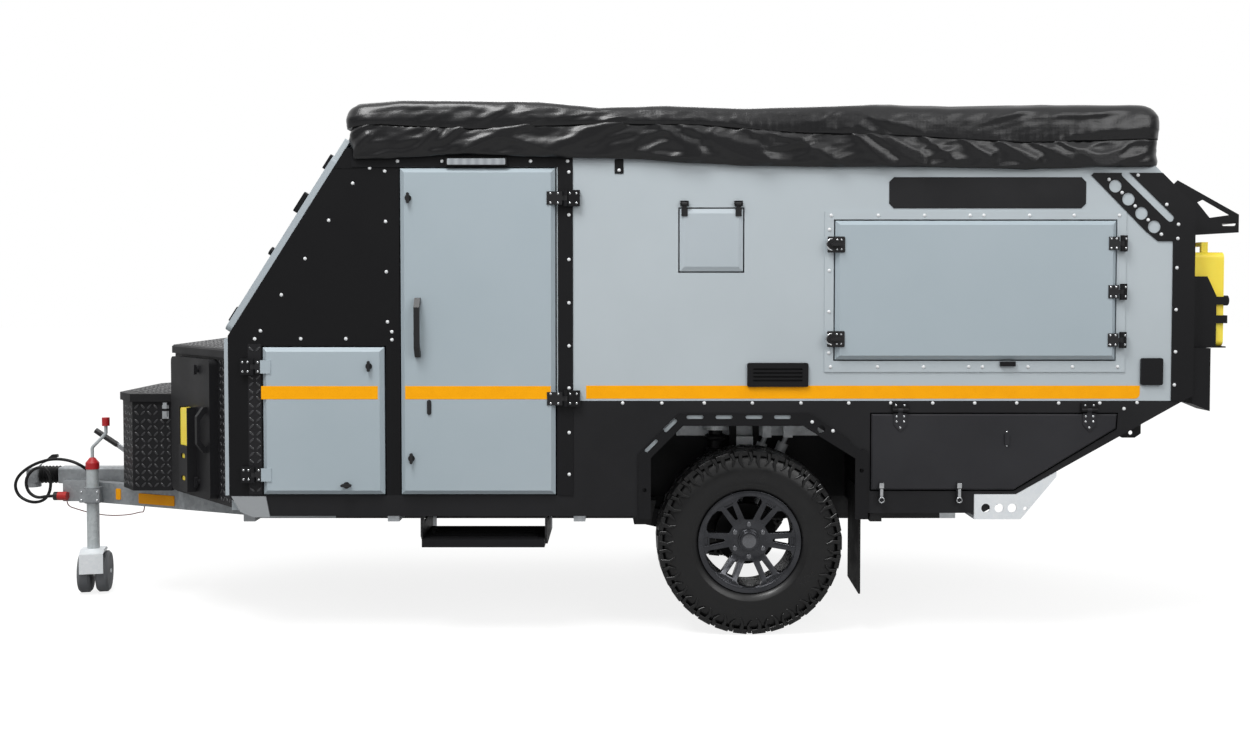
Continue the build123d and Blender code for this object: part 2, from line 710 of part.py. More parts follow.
with BuildPart() as jockey_clamp:
    with BuildSketch(Plane.XY.offset(446)):
        with Locations((jockey_x, jockey_y)):
            Circle(jockey_tube_r + 11)
        Polygon((-2500, drawbar_y(-2500)), (-2424, drawbar_y(-2424)), (-2424, jockey_y), (-2500, jockey_y),
                align=None)
        with Locations((jockey_x, jockey_y)):
            Circle(jockey_tube_r + 0.3, mode=Mode.SUBTRACT)
    extrude(amount=76)
pieces["jockey_clamp"] = jockey_clamp.part

with BuildPart() as jockey_tube:
    with Locations((jockey_x, jockey_y, 224)):
        Cylinder(jockey_tube_r, 388, align=(Align.CENTER, Align.CENTER, Align.MIN))
    with Locations((jockey_x, jockey_y, 612)):
        Cylinder(jockey_tube_r + 3, 30, align=(Align.CENTER, Align.CENTER, Align.MIN))
    with Locations((jockey_x, jockey_y, 642)):
        Cone(jockey_tube_r + 3, 13, 24, align=(Align.CENTER, Align.CENTER, Align.MIN))
    with BuildLine() as crank:
        FilletPolyline(
            (jockey_x, jockey_y, 660),
            (jockey_x, jockey_y, 716),
            (jockey_x + 68, jockey_y, 784),
            (jockey_x + 68, jockey_y, 826),
            radius=18,
        )
    with BuildSketch(Plane.XY.offset(660)):
        with Locations((jockey_x, jockey_y)):
            Circle(8)
    sweep(path=crank.line)
    with Locations((jockey_x + 68, jockey_y, 842)):
        Cylinder(18, 40)
pieces["jockey_tube"] = jockey_tube.part

castor = Location((jockey_x, jockey_y, 0), (0, 0, castor_turn))
trail = 40
with BuildPart() as fork_shape:
    with BuildSketch(Plane.YZ.offset(-55)):
        Polygon((-78, 110), (-72, 110), (-72, 206), (60, 206), (60, 212), (34, 224), (-34, 224), (-78, 206),
                align=None)
    extrude(amount=110)
    with BuildSketch(Plane.YZ):
        Polygon((-30, 207), (trail - 22, jockey_r - 10), (trail + 22, jockey_r - 10), (58, 207), align=None)
    extrude(amount=7, both=True)
    with Locations(Location((0, trail, jockey_r), (0, 90, 0))):
        Cylinder(24, 14)
        Cylinder(10, 150)
pieces["jockey_fork"] = castor * fork_shape.part

with BuildPart() as jockey_rollers:
    for side in (-1, 1):
        with BuildSketch(Plane.YZ.offset(side * 42)):
            with Locations((trail, jockey_r)):
                Circle(jockey_r)
                Circle(10.3, mode=Mode.SUBTRACT)
        extrude(amount=29, both=True)
    chamfer(jockey_rollers.edges().filter_by(GeomType.CIRCLE).sort_by(SortBy.RADIUS)[-4:], 10)
pieces["jockey_wheels"] = castor * jockey_rollers.part

# Nose box: a tapered cabinet with a lid, a raised panel with a can holder on each slanted face
face_dir = Vector(front_x - nose_front_x, nose_front_y - nose_rear_y, 0).normalized()
nose_face = Plane(
    origin=(nose_front_x, -nose_front_y, 0), x_dir=face_dir, z_dir=Vector(face_dir.Y, -face_dir.X, 0)
)
# Flask on the slanted face: place along the face, foot height, width, height, depth
flask_u, flask_z, flask_w, flask_h, flask_d = 286, 588, 78, 368, 36
with BuildPart() as nose_box:
    with BuildSketch(Plane.XY.offset(nose_bottom_z)):
        nose_plan = Polygon(
            (nose_front_x, -nose_front_y),
            (front_x, -nose_rear_y),
            (front_x, nose_rear_y),
            (nose_front_x, nose_front_y),
            align=None,
        )
    extrude(amount=nose_lid_z - nose_bottom_z)
    with BuildSketch(Plane.XY.offset(nose_bottom_z + box_sheet)):
        offset(nose_plan, amount=-box_sheet)
    extrude(amount=nose_lid_z - nose_bottom_z, mode=Mode.SUBTRACT)
    with BuildSketch(nose_face):
        with Locations((262, 868)):
            RectangleRounded(435, 620, 25)
    extrude(amount=40)
    with BuildSketch(nose_face.offset(40)):
        with Locations((flask_u, flask_z - 8)):
            Rectangle(flask_w + 16, flask_h + 12, align=(Align.CENTER, Align.MIN))
        with Locations((flask_u, flask_z)):
            Rectangle(flask_w + 4, flask_h + 40, align=(Align.CENTER, Align.MIN), mode=Mode.SUBTRACT)
    extrude(amount=flask_d + 6)
    with BuildSketch(nose_face.offset(flask_d + 42)):
        with Locations((flask_u, flask_z - 8)):
            Rectangle(flask_w + 16, 208, align=(Align.CENTER, Align.MIN))
        with Locations((flask_u, flask_z + 52), (flask_u, flask_z + 152)):
            SlotOverall(46, 22, mode=Mode.SUBTRACT)
    extrude(amount=6)
    add(bow_handle(nose_face.offset(40), 440, 867, 202))
    for v in (626, 1131):
        add(wing_latch(nose_face.offset(40), 355, v, 90))
    mirror(about=Plane.XZ)
pieces["nose_box"] = nose_box.part

with BuildPart() as nose_box_lid:
    with BuildSketch(Plane.XY.offset(nose_lid_z + 0.5)):
        offset(nose_plan, amount=14, kind=Kind.INTERSECTION)
        with Locations((front_x - 2 + 50, 0)):
            Rectangle(100, 3000, mode=Mode.SUBTRACT)
    extrude(amount=nose_top_z - nose_lid_z - 0.5)
    chamfer(nose_box_lid.faces().sort_by(Axis.Z)[-1].edges(), 8)
pieces["nose_box_lid"] = nose_box_lid.part

# Tongue box
with BuildPart() as tongue_box:
    with BuildSketch(Plane.XY.offset(tongue_bottom_z)):
        tongue_plan = Polygon(
            (tongue_front_x, -tongue_front_y),
            (tongue_corner_x, -tongue_y),
            (tongue_rear_x, -tongue_y),
            (tongue_rear_x, tongue_y),
            (tongue_corner_x, tongue_y),
            (tongue_front_x, tongue_front_y),
            align=None,
        )
    extrude(amount=tongue_lid_z - tongue_bottom_z)
    with BuildSketch(Plane.XY.offset(tongue_bottom_z + box_sheet)):
        offset(tongue_plan, amount=-box_sheet)
    extrude(amount=tongue_lid_z - tongue_bottom_z, mode=Mode.SUBTRACT)
    for y in (-170, 170):
        with Locations((tongue_pin_x, y, tongue_pin_z)):
            Box(22, 90, 12, align=(Align.MIN, Align.CENTER, Align.CENTER))
        with Locations(Location((tongue_pin_x, y, tongue_pin_z), (90, 0, 0))):
            Cylinder(6, 90)
    for side in (-1, 1):
        for t, w, z0, z1 in ((8, 30, 880, 944), (16, 18, 890, 956)):
            with Locations((tongue_rear_x - 26, side * (tongue_y + t / 2), (z0 + z1) / 2)):
                Box(w, t, z1 - z0)
pieces["tongue_box"] = tongue_box.part

with BuildPart() as tongue_box_lid:
    with BuildSketch(Plane.XY.offset(tongue_lid_z + 0.5)):
        offset(tongue_plan, amount=12, kind=Kind.INTERSECTION)
        with Locations((tongue_rear_x + 56, 0)):
            Rectangle(100, 1000, mode=Mode.SUBTRACT)
    extrude(amount=tongue_top_z - tongue_lid_z - 0.5)
pieces["tongue_box_lid"] = tongue_box_lid.part

# Entry step on its runners
with BuildPart() as step:
    with Locations(((step_x0 + step_x1) / 2, -(step_y0 + step_y1) / 2, step_z - 17)):
        Box(step_x1 - step_x0, step_y1 - step_y0, 34)
    with Locations(((step_x0 + step_x1) / 2, -(step_y0 + step_y1) / 2 + 6, step_z - 23)):
        Box(step_x1 - step_x0 - 12, step_y1 - step_y0 + 6, 34, mode=Mode.SUBTRACT)
    with GridLocations(0, 38, 1, 8):
        with Locations(((step_x0 + step_x1) / 2, -(step_y0 + step_y1) / 2, step_z + 1)):
            Box(step_x1 - step_x0 - 60, 8, 3)
pieces["step"] = step.part

# Tail: corner plates, lamps in guards, rack, can holders with cans, spare wheel carrier
with BuildPart() as corner_plates:
    with BuildSketch(Plane.XZ.offset(half_width)):
        Polygon((rear_x - 444, roof_z - 88), (rear_x - 209, roof_z - 326), (rear_x - 158, roof_z - 367),
                (rear_x - 94, roof_z - 367), (rear_x - 94, belt_z), (tail_x(belt_z), belt_z),
                (rear_x, tail_end_z), (rear_x, roof_z - tail_cut), (rear_x - tail_cut + 78, roof_z - 78),
                (rear_x - 434, roof_z - 78), align=None)
        for x, z in ((342, 134), (286, 189), (230, 249), (175, 306)):
            with Locations((rear_x - x, roof_z - z)):
                Circle(27, mode=Mode.SUBTRACT)
        with Locations((rear_x - 204, roof_z - 176)):
            SlotOverall(300, 32, rotation=-44, mode=Mode.SUBTRACT)
    extrude(amount=5)
    mirror(about=Plane.XZ)
pieces["corner_plates"] = corner_plates.part

guard_top_z, guard_d = 1238, 76
lamp_y, lamp_z = 73 - half_width, guard_top_z - 134
with BuildPart() as lamp_guards:
    with BuildSketch(Plane.XZ.offset(half_width - 5)):
        Polygon((rear_x, guard_top_z), (rear_x + guard_d, guard_top_z),
                (rear_x + guard_d, guard_top_z - 269), (rear_x, guard_top_z - 238), align=None)
    extrude(amount=-135)
    with Locations((rear_x + guard_d, lamp_y, lamp_z)):
        Box(100, 111, 220, mode=Mode.SUBTRACT)
    mirror(about=Plane.XZ)
pieces["lamp_guards"] = lamp_guards.part

with BuildPart() as tail_lamps:
    with Locations((rear_x + guard_d - 29, lamp_y, lamp_z)):
        Box(42, 100, 208)
    fillet(tail_lamps.edges().filter_by(Axis.X), 12)
    mirror(about=Plane.XZ)
pieces["tail_lamps"] = tail_lamps.part

rack_y = half_width - 80
with BuildPart() as rear_rack:
    for side in (-1, 1):
        with BuildSketch(Plane.XZ.offset(side * rack_y)):
            Polygon((rear_x - 80, roof_z - 140), (rear_x - 45, roof_z - 103), (rear_x + 220, roof_z - 250),
                    (rear_x + 220, roof_z - 327), (rear_x, roof_z - 340), (rear_x, roof_z - tail_cut),
                    align=None)
            Polygon((rear_x + 40, roof_z - 198), (rear_x + 64, roof_z - 186), (rear_x + 180, roof_z - 252),
                    (rear_x + 94, roof_z - 264), align=None, mode=Mode.SUBTRACT)
            with Locations((rear_x + 178, roof_z - 290)):
                SlotOverall(62, 18, mode=Mode.SUBTRACT)
        extrude(amount=4, both=True)
    with Locations((rear_x + 110, 0, roof_z - 284)):
        Box(220, 2 * rack_y, 6)
        with GridLocations(110, 200, 1, 8):
            Box(110, 120, 6, mode=Mode.SUBTRACT)
pieces["rear_rack"] = rear_rack.part

can_y, can_z, can_w, can_h, can_d = half_width - 237, 1244, 345, 404, 150
band_zs = can_z + 116, can_z + 196
with BuildPart() as can_holders:
    with BuildSketch(Plane.XY.offset(can_z - 6)):
        with Locations((rear_x + 80, -can_y)):
            Rectangle(160, can_w + 28)
    extrude(amount=6)
    for y in (can_y - can_w / 2 - 13, can_y + can_w / 2 + 7):
        with BuildSketch(Plane.XZ.offset(y)):
            Polygon((rear_x, can_z), (rear_x + 118, can_z), (rear_x + 118, can_z + 216),
                    (rear_x + 78, can_z + 300), (rear_x, can_z + 300), align=None)
            for z in band_zs:
                with Locations((rear_x + 138, z)):
                    Rectangle(56, 34)
        extrude(amount=6)
    for z in band_zs:
        with Locations((rear_x + 163, -can_y, z)):
            Box(6, can_w + 26, 34)
    with Locations(Location((rear_x + 178, -can_y - 120, band_zs[1]), (0, 90, 0))):
        Cylinder(22, 30)
    mirror(about=Plane.XZ)
pieces["can_holders"] = can_holders.part

# Jerry can: rounded body with a sloped shoulder, a spout with its cap and a bar handle
with BuildPart() as jerry_cans:
    with BuildSketch(Plane.YZ.offset(rear_x + 79 - can_d / 2)):
        Polygon((can_w / 2 - can_y, can_z), (-can_w / 2 - can_y, can_z), (-can_w / 2 - can_y, can_z + can_h),
                (can_w / 2 - 120 - can_y, can_z + can_h), (can_w / 2 - can_y, can_z + can_h - 60), align=None)
    extrude(amount=can_d)
    fillet(jerry_cans.edges().filter_by(Axis.X), 24)
    with Locations((rear_x + 79, 70 - can_y, can_z + can_h - 40)):
        Cylinder(28, 66, align=(Align.CENTER, Align.CENTER, Align.MIN))
    with BuildSketch(Plane.YZ.offset(rear_x + 79)):
        for y0, y1, up in ((-150, 10, 44), (-132, -8, 26)):
            with Locations(((y0 + y1) / 2 - can_y, can_z + can_h + (up - 4) / 2)):
                Rectangle(y1 - y0, up + 4, mode=Mode.ADD if up == 44 else Mode.SUBTRACT)
    extrude(amount=14, both=True)
    with BuildSketch(nose_face.offset(42)):
        with Locations((flask_u, flask_z)):
            RectangleRounded(flask_w, flask_h, 14, align=(Align.CENTER, Align.MIN))
    extrude(amount=flask_d)
    mirror(about=Plane.XZ)
pieces["jerry_cans"] = jerry_cans.part

with BuildPart() as spare_carrier:
    with Locations((rear_x + 5, 0, spare_z)):
        Box(10, 340, 420)
    with BuildSketch(Plane.YZ.offset(rear_x + 10)):
        with Locations((0, spare_z)):
            Circle(60)
    extrude(amount=spare_x - 62 - rear_x - 10)
pieces["spare_carrier"] = spare_carrier.part

# Fittings on the body: front guard with its latches, corner flanges, door post, vent, cover plate, light bar
slope_len = math.hypot(slope_top_x - front_x, roof_z - kink_z)
up_x, up_z = (slope_top_x - front_x) / slope_len, (roof_z - kink_z) / slope_len
guard_t = 28
guard_face = Plane(
    origin=(front_x - guard_t * up_z, 0, kink_z + guard_t * up_x), x_dir=(0, -1, 0), z_dir=(-up_z, 0, up_x)
)
with BuildPart() as body_fittings:
    with BuildSketch(guard_face):
        with Locations((0, slope_len / 2 - 2)):
            RectangleRounded(2 * half_width - 6, slope_len - 32, 30)
    extrude(amount=-guard_t)
    for y in (60 - half_width, half_width - 60):
        for up, w, long, high in ((86, 60, 70, 12), (644, 44, 96, 30), (slope_len - 60, 36, 70, 22)):
            with BuildSketch(guard_face):
                with Locations((y, up)):
                    RectangleRounded(w, long, 8)
            extrude(amount=high)
        with BuildSketch(guard_face):
            with Locations((y, 399)):
                Circle(19)
        extrude(amount=24)
        flange_y = y * (half_width - 29) / (half_width - 60)
        with Locations((front_x - 8, flange_y, (sill_top_z + kink_z) / 2 - 6)):
            Box(16, 58, kink_z - sill_top_z - 12)
    with BuildSketch(Plane.XZ.offset(half_width)):
        with Locations((door_hole[1] + 37, (sill_top_z + door_hole[3]) / 2)):
            Rectangle(64, door_hole[3] - sill_top_z)
        Polygon((slope_top_x + 40, door_hole[3]), (door_hole[1] + 69, door_hole[3]),
                (door_hole[1] + 69, roof_z - 2), (slope_top_x + 40, roof_z - 2), align=None)
    extrude(amount=post_t)
    for side in (-1, 1):
        with Locations((1763, side * (half_width + rim_t + 7), hatch_hole[2] - 12)):
            Box(64, 14, 20)
    with BuildSketch(Plane.XZ.offset(half_width)):
        with Locations((786, belt_z + 111)):
            RectangleRounded(260, 102, 8)
            with GridLocations(0, 16, 1, 4):
                SlotOverall(210, 8, mode=Mode.SUBTRACT)
        with Locations((rear_x - 179, belt_z + 125)):
            RectangleRounded(94, 115, 8)
    extrude(amount=12)
    with BuildSketch(Plane.XZ.offset(half_width)):
        with Locations(((door_hole[0] + door_hole[1]) / 2 - 4, door_hole[3] + 21)):
            RectangleRounded(260, 34, 6)
    extrude(amount=26)
    with BuildSketch(Plane.XZ.offset(inner - 14)):
        Polygon((2250, tail_start_z + (2250 - tail_start_x) / tail_run),
                (2356, tail_start_z + (2356 - tail_start_x) / tail_run), (2356, 868), (2330, 850), (2276, 850),
                align=None)
        with Locations((2312, 872)):
            Circle(9, mode=Mode.SUBTRACT)
    extrude(amount=-6)
pieces["body_fittings"] = body_fittings.part

# Roof cover: the packed tent's outer form, draped over the roof edge. Stations along the roof: distance from
# its front edge, half width, height over the roof of the hem, of the shoulders and of the sag between them
cover_y = half_width + 30
cover_stations = (
    (24, cover_y - 70, -42, 128, 124),
    (84, cover_y - 14, -44, 196, 188),
    (264, cover_y, -44, 229, 212),
    (838, cover_y, -46, 223, 198),
    (1371, cover_y, -58, 206, 188),
    (2000, cover_y, -72, 198, 184),
    (2572, cover_y, -76, 198, 182),
    (3264, cover_y, -64, 209, 188),
    (3424, cover_y - 14, -50, 190, 178),
    (3456, cover_y - 70, -46, 130, 124),
)
with BuildPart() as roof_cover:
    for x, half, hem, shoulder, sag in cover_stations:
        with BuildSketch(Plane.YZ.offset(slope_top_x + x)):
            edge = ((half, hem), (half, shoulder - 60), (half - 35, shoulder - 12), (half - 110, shoulder),
                    (480, sag))
            far_edge = [(-y, z) for y, z in edge[::-1]]
            Polygon(*[(y, roof_z + z) for y, z in (*edge, (0, sag + 12), *far_edge)], align=None)
    loft(ruled=True)
    clear_y = half_width + post_t + 0.6
    with BuildSketch(Plane.XZ.offset(-clear_y)):
        Polygon((slope_top_x - 40, roof_z + 0.4), (rear_x - tail_cut, roof_z + 0.4),
                (rear_x, roof_z - tail_cut + 0.6), (rear_x, roof_z - 260), (slope_top_x - 40, roof_z - 260),
                align=None)
    extrude(amount=2 * clear_y, mode=Mode.SUBTRACT)
    with Locations(((door_hole[0] + door_hole[1]) / 2 - 4, -half_width - 20, roof_z - 58)):
        Box(340, 60, 100, mode=Mode.SUBTRACT)
pieces["roof_cover"] = roof_cover.part

# Free leads at the nose: the trailer lead with its parked plug, and the breakaway wire
lead_points = ((-2540, -46, 590), (-2540, -90, 612), (-2600, -92, 642), (-2690, -90, 652), (-2786, -86, 624),
               (-2862, -78, 572), (-2890, -72, 516), (-2868, -74, 460), (-2802, -82, 430), (-2738, -90, 440),
               (-2704, -92, 484), (-2698, -94, 556), (-2722, -104, 612), (-2776, -116, 606), (-2812, -124, 552),
               (-2800, -126, 492), (-2756, -124, 460), (-2706, -120, 470), (-2673, -120, 470))
wire_points = ((-2634, -62, 440), (-2634, -62, 412), (-2600, -20, 388), (-2540, 2, 364), (-2440, 4, 350),
               (-2340, -4, 358), (-2262, -90, 386), (-2200, -200, 404), (-2200, -200, 440))
cords = ("trailer_lead", lead_points, 7.5, 14), ("breakaway_wire", wire_points, 2.5, 18)
for node, points, r, bend in cords:
    with BuildPart() as cord:
        with BuildLine() as route:
            FilletPolyline(*points, radius=bend)
        with BuildSketch(Plane(origin=points[0], z_dir=Vector(*points[1]) - Vector(*points[0]))):
            Circle(r)
        sweep(path=route.line)
    pieces[node] = cord.part

with BuildPart() as lead_plug:
    with Locations(Location((-2640, -120, 470), (0, 90, 0))):
        Cylinder(21, 64)
    with Locations((-2620, -104, 470)):
        Box(24, 18, 30)
pieces["lead_plug"] = lead_plug.part

for node, piece in pieces.items():
    piece.label = node
    export_step(piece, f"parts/{node}.step")
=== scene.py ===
# Off-road touring caravan: finishes, soft cover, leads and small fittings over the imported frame
import bmesh
import bpy
import json
import math
import numpy as np
from mathutils import Euler, Matrix, Vector, noise


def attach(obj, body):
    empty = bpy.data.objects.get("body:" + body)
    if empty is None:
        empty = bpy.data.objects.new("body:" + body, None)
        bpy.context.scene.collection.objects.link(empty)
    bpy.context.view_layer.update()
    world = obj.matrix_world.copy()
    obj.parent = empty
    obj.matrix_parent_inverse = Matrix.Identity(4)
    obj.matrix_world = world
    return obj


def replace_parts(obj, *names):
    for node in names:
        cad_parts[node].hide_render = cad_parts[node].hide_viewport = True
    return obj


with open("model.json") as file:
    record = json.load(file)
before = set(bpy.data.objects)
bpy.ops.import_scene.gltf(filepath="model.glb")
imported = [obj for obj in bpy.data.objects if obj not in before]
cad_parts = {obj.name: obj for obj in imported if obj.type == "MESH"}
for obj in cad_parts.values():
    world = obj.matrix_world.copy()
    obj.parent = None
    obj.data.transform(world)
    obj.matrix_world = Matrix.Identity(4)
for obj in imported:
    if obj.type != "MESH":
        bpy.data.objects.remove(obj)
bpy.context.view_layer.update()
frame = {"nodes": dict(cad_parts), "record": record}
scene = bpy.context.scene
nodes = frame["nodes"]
endless = 9.0  # past every face of the object, in metres
sides = ((-1, "near", "_left"), (1, "far", "_right"))
wheelAt, spareAt = (0.673, 0.832, 0.400), (2.728, 0, 1.340)  # centres of the far wheel and the spare
print("frame loaded:", len(nodes), "nodes")


def linear(hexCode):
    parts = [int(hexCode[i:i + 2], 16) / 255 for i in (0, 2, 4)]
    return tuple(c / 12.92 if c <= 0.04045 else ((c + 0.055) / 1.055) ** 2.4 for c in parts) + (1.0,)


def addNode(tree, kind, settings=None, links=None):
    node = tree.nodes.new(kind)
    for key, value in (settings or {}).items():
        if isinstance(key, str) and hasattr(node, key):
            setattr(node, key, value)
        else:
            node.inputs[key].default_value = value
    for key, socket in (links or {}).items():
        tree.links.new(socket, node.inputs[key])
    return node


def newMaterial(name, colour, rough, metal=0.0):
    material = bpy.data.materials.new(name)
    material.use_nodes = True
    tree = material.node_tree
    tree.nodes.clear()
    shader = addNode(tree, "ShaderNodeBsdfPrincipled",
                     {"Base Color": linear(colour), "Roughness": rough, "Metallic": metal})
    addNode(tree, "ShaderNodeOutputMaterial", links={"Surface": shader.outputs[0]})
    place = addNode(tree, "ShaderNodeTexCoord").outputs["Object"]
    return material, tree, shader, place


# Uneven tone over decimetres, and a fine bump whose grain is given in millimetres
def surface(tree, shader, place, tones, patch, grain, depth, roughSpan=None):
    drift = addNode(tree, "ShaderNodeTexNoise", {"Scale": 1.0 / patch, "Detail": 4.0}, {"Vector": place}).outputs["Fac"]
    spread = addNode(tree, "ShaderNodeMapRange", {1: 0.3, 2: 0.7}, {0: drift}).outputs[0]
    light, dark = [linear(tone) for tone in tones]
    colour = addNode(tree, "ShaderNodeMix", {"data_type": "RGBA", 6: light, 7: dark}, {0: spread})
    fine = addNode(tree, "ShaderNodeTexNoise", {"Scale": 1000.0 / grain, "Detail": 3.0}, {"Vector": place})
    bump = addNode(tree, "ShaderNodeBump", {"Strength": 1.0, "Distance": depth / 1000}, {"Height": fine.outputs["Fac"]})
    tree.links.new(colour.outputs[2], shader.inputs["Base Color"])
    tree.links.new(bump.outputs[0], shader.inputs["Normal"])
    if roughSpan:
        rough = addNode(tree, "ShaderNodeMapRange", {1: 0.3, 2: 0.7, 3: roughSpan[0], 4: roughSpan[1]}, {0: drift})
        tree.links.new(rough.outputs[0], shader.inputs["Roughness"])


# Coats over regions of a material: colour (none: the bare base), metallic share (none: as it was) and limits as
# axis, low, high in metres. Axis 3 is the distance from the middle plane, axis 4 the extra value.
def painted(made, *coats, extra=None):
    material, tree, shader, place = made
    split = addNode(tree, "ShaderNodeSeparateXYZ", links={0: place}).outputs
    apart = addNode(tree, "ShaderNodeMath", {"operation": "ABSOLUTE"}, {0: split[1]}).outputs[0]
    values = (*split, apart, extra)
    base, metallic = shader.inputs["Base Color"], shader.inputs["Metallic"]
    bare = base.links[0].from_socket if base.is_linked else None
    for colour, metal, *limits in coats:
        mask = None
        for axis, low, high in limits:
            inside = addNode(tree, "ShaderNodeMath", {"operation": "COMPARE", 1: (low + high) / 2, 2: (high - low) / 2},
                             {0: values[axis]}).outputs[0]
            mask = inside if mask is None else addNode(
                tree, "ShaderNodeMath", {"operation": "MULTIPLY"}, {0: mask, 1: inside}).outputs[0]
        settings, links = {"data_type": "RGBA", 6: base.default_value[:]}, {0: mask}
        if base.is_linked:
            links[6] = base.links[0].from_socket
        if colour:
            settings[7] = linear(colour)
        else:
            links[7] = bare
        tree.links.new(addNode(tree, "ShaderNodeMix", settings, links).outputs[2], base)
        if metal is not None:
            links = {0: mask, 3: metallic.links[0].from_socket} if metallic.is_linked else {0: mask}
            share = addNode(tree, "ShaderNodeMapRange", {3: metallic.default_value, 4: metal}, links)
            tree.links.new(share.outputs[0], metallic)
    return material


# Coated aluminium sheet: satin light grey paint, rolled flat, so a faint orange peel and slow tone drift
def coatedSheet(name, light, dark, rough):
    made = newMaterial(name, light, rough)
    surface(*made[1:], (light, dark), 0.55, 3.0, 0.05, (rough - 0.05, rough + 0.08))
    return made


# Powder coat over sheet steel: near black, baked grains about 1.6 mm apart, drawn twice as coarse so they show
def powderCoat(name, light, dark, rough, grain=3.2, depth=0.16):
    made = newMaterial(name, light, rough)
    surface(*made[1:], (light, dark), 0.30, grain, depth, (rough - 0.06, rough + 0.10))
    made[2].inputs["Specular IOR Level"].default_value = 0.22
    return made


wallGrey = coatedSheet("coatedAluminiumGrey", "B7C0C5", "B1BABF", 0.42)[0]
rearGrey = coatedSheet("coatedAluminiumInner", "AAB2B8", "A2AAB0", 0.50)[0]
panelBlack = powderCoat("powderCoatBlack", "232325", "1C1C1E", 0.50)[0]
frontBlack = powderCoat("powderCoatFront", "111113", "0C0C0E", 0.50)[0]
steelBlack = powderCoat("satinSteelBlack", "19191B", "131315", 0.42, 2.4, 0.10)[0]
lidBlack = powderCoat("powderCoatLid", "303033", "29292C", 0.48)[0]

# Grey door skin: handles, latches and hinge leaves stand proud of it and are black, but for the leaf on a locker door
doorGrey = painted(coatedSheet("coatedDoorGrey", "A9B5BC", "A3B0B7", 0.38), ("1B1B1D", None, (3, 1.0043, endless)),
                   (None, None, (3, 1.0043, endless), (0, -1.4105, -1.3595)))
flapGrey = painted(coatedSheet("coatedFlapGrey", "B3BCC2", "ABB5BB", 0.40), ("1B1B1D", None, (3, 0.9883, endless)))

# Tongue box sheet with bright toggle latches at its rear edge, a dark joint across each
latch = (3, 0.4008, endless), (0, -2.045, endless)
boxBlack = painted(powderCoat("powderCoatBox", "1E1E20", "171719", 0.46), ("C4C8CB", 1.0, *latch),
                   (None, 0.0, *latch, (2, 0.916, 0.928)))

# Front guard: grey sheet below its own face plane, black fittings above it and on the walls
made = powderCoat("fittingsCoat", "19191B", "131315", 0.42, 2.4, 0.10)
over = addNode(made[1], "ShaderNodeVectorMath", {"operation": "DOT_PRODUCT", 1: (-0.8429, 0.0, 0.5381)}, {0: made[3]})
fittingMix = painted(made, ("A9B2B8", None, (4, -endless, 2.0339), (0, -endless, -1.03)), extra=over.outputs["Value"])


# Hot-dip galvanised steel: dull zinc with frost-like spangles about 14 mm wide
def galvanised(name, light, dark):
    made = newMaterial(name, light, 0.5, 0.4)
    material, tree, shader, place = made
    cells = addNode(tree, "ShaderNodeTexVoronoi", {"Scale": 70.0}, {"Vector": place})
    grey = addNode(tree, "ShaderNodeRGBToBW", links={0: cells.outputs["Color"]}).outputs[0]
    cloud = addNode(tree, "ShaderNodeTexNoise", {"Scale": 6.0, "Detail": 5.0}, {"Vector": place}).outputs["Fac"]
    mixed = addNode(tree, "ShaderNodeMath", {"operation": "MULTIPLY_ADD", 1: 0.45}, {0: grey, 2: cloud}).outputs[0]
    spread = addNode(tree, "ShaderNodeMapRange", {1: 0.35, 2: 1.05}, {0: mixed}).outputs[0]
    colour = addNode(tree, "ShaderNodeMix", {"data_type": "RGBA", 6: linear(light), 7: linear(dark)}, {0: spread})
    tree.links.new(colour.outputs[2], shader.inputs["Base Color"])
    rough = addNode(tree, "ShaderNodeMapRange", {3: 0.38, 4: 0.58}, {0: grey}).outputs[0]
    tree.links.new(rough, shader.inputs["Roughness"])
    return made


zinc = galvanised("galvanisedSteel", "F8FBFD", "E8EDF1")[0]
# Zinc of the drawbar, overrun housing and clamps: darker than the plain zinc, its darkness painted shade under the nose
shadedNoseZinc = galvanised("galvanisedDrawbar", "A6AAAD", "8A8E91")[0]

# Chassis rails: zinc tail brackets, front corners darker as painted shade under the nose, near black between
railZinc = painted(galvanised("galvanisedRail", "F8FBFD", "E8EDF1"), ("B4B8BB", None, (0, -endless, -1.2)),
                   ("1C1C1E", 0.0, (0, -1.2, 1.59)))

# Cross members in zinc, darker at the front as painted shade under the nose; the step's runners painted black and the
# ends round the wheels near black
crossZinc = painted(galvanised("galvanisedChannel", "E2E6E9", "CBD1D6"), ("A6AAAD", None, (0, -endless, -1.2)),
                    ("171719", 0.0, (0, -0.760, -0.180), (1, -endless, -0.640)),
                    ("171719", 0.0, (0, 0.10, endless), (3, 0.55, endless)))

# Jockey tube: zinc tube, red moulded collar and knob
tubeZinc = painted(galvanised("galvanisedTube", "CDD3D5", "B4BBBD"), ("B01A20", 0.0, (2, 0.611, 0.668)),
                   ("B01A20", 0.0, (2, 0.8215, endless)))

# Hand lever and coupling head in zinc, each with a black grip
leverZinc = painted(galvanised("galvanisedLever", "AEB2B5", "969A9E"), ("1B1B1C", 0.0, (0, -endless, -2.400)))
headZinc = painted(galvanised("galvanisedCasting", "A4A7A9", "888B8E"), ("1B1B1C", 0.0, (2, 0.613, endless)))

# Coil springs in black lacquer, shock absorbers with pale zinc bodies
springMix = painted(galvanised("zincShockBody", "C8CBCD", "B4B8BB"), ("242426", None, (0, -endless, 0.612)))


# Moulded rubber: matt, charcoal, with a slight bloom in patches
def rubber(name, light, dark, rough, grain=1.6, depth=0.03, shine=0.3):
    made = newMaterial(name, light, rough)
    surface(*made[1:], (light, dark), 0.10, grain, depth, (rough - 0.1, rough + 0.08))
    made[2].inputs["Specular IOR Level"].default_value = shine
    return made[0]


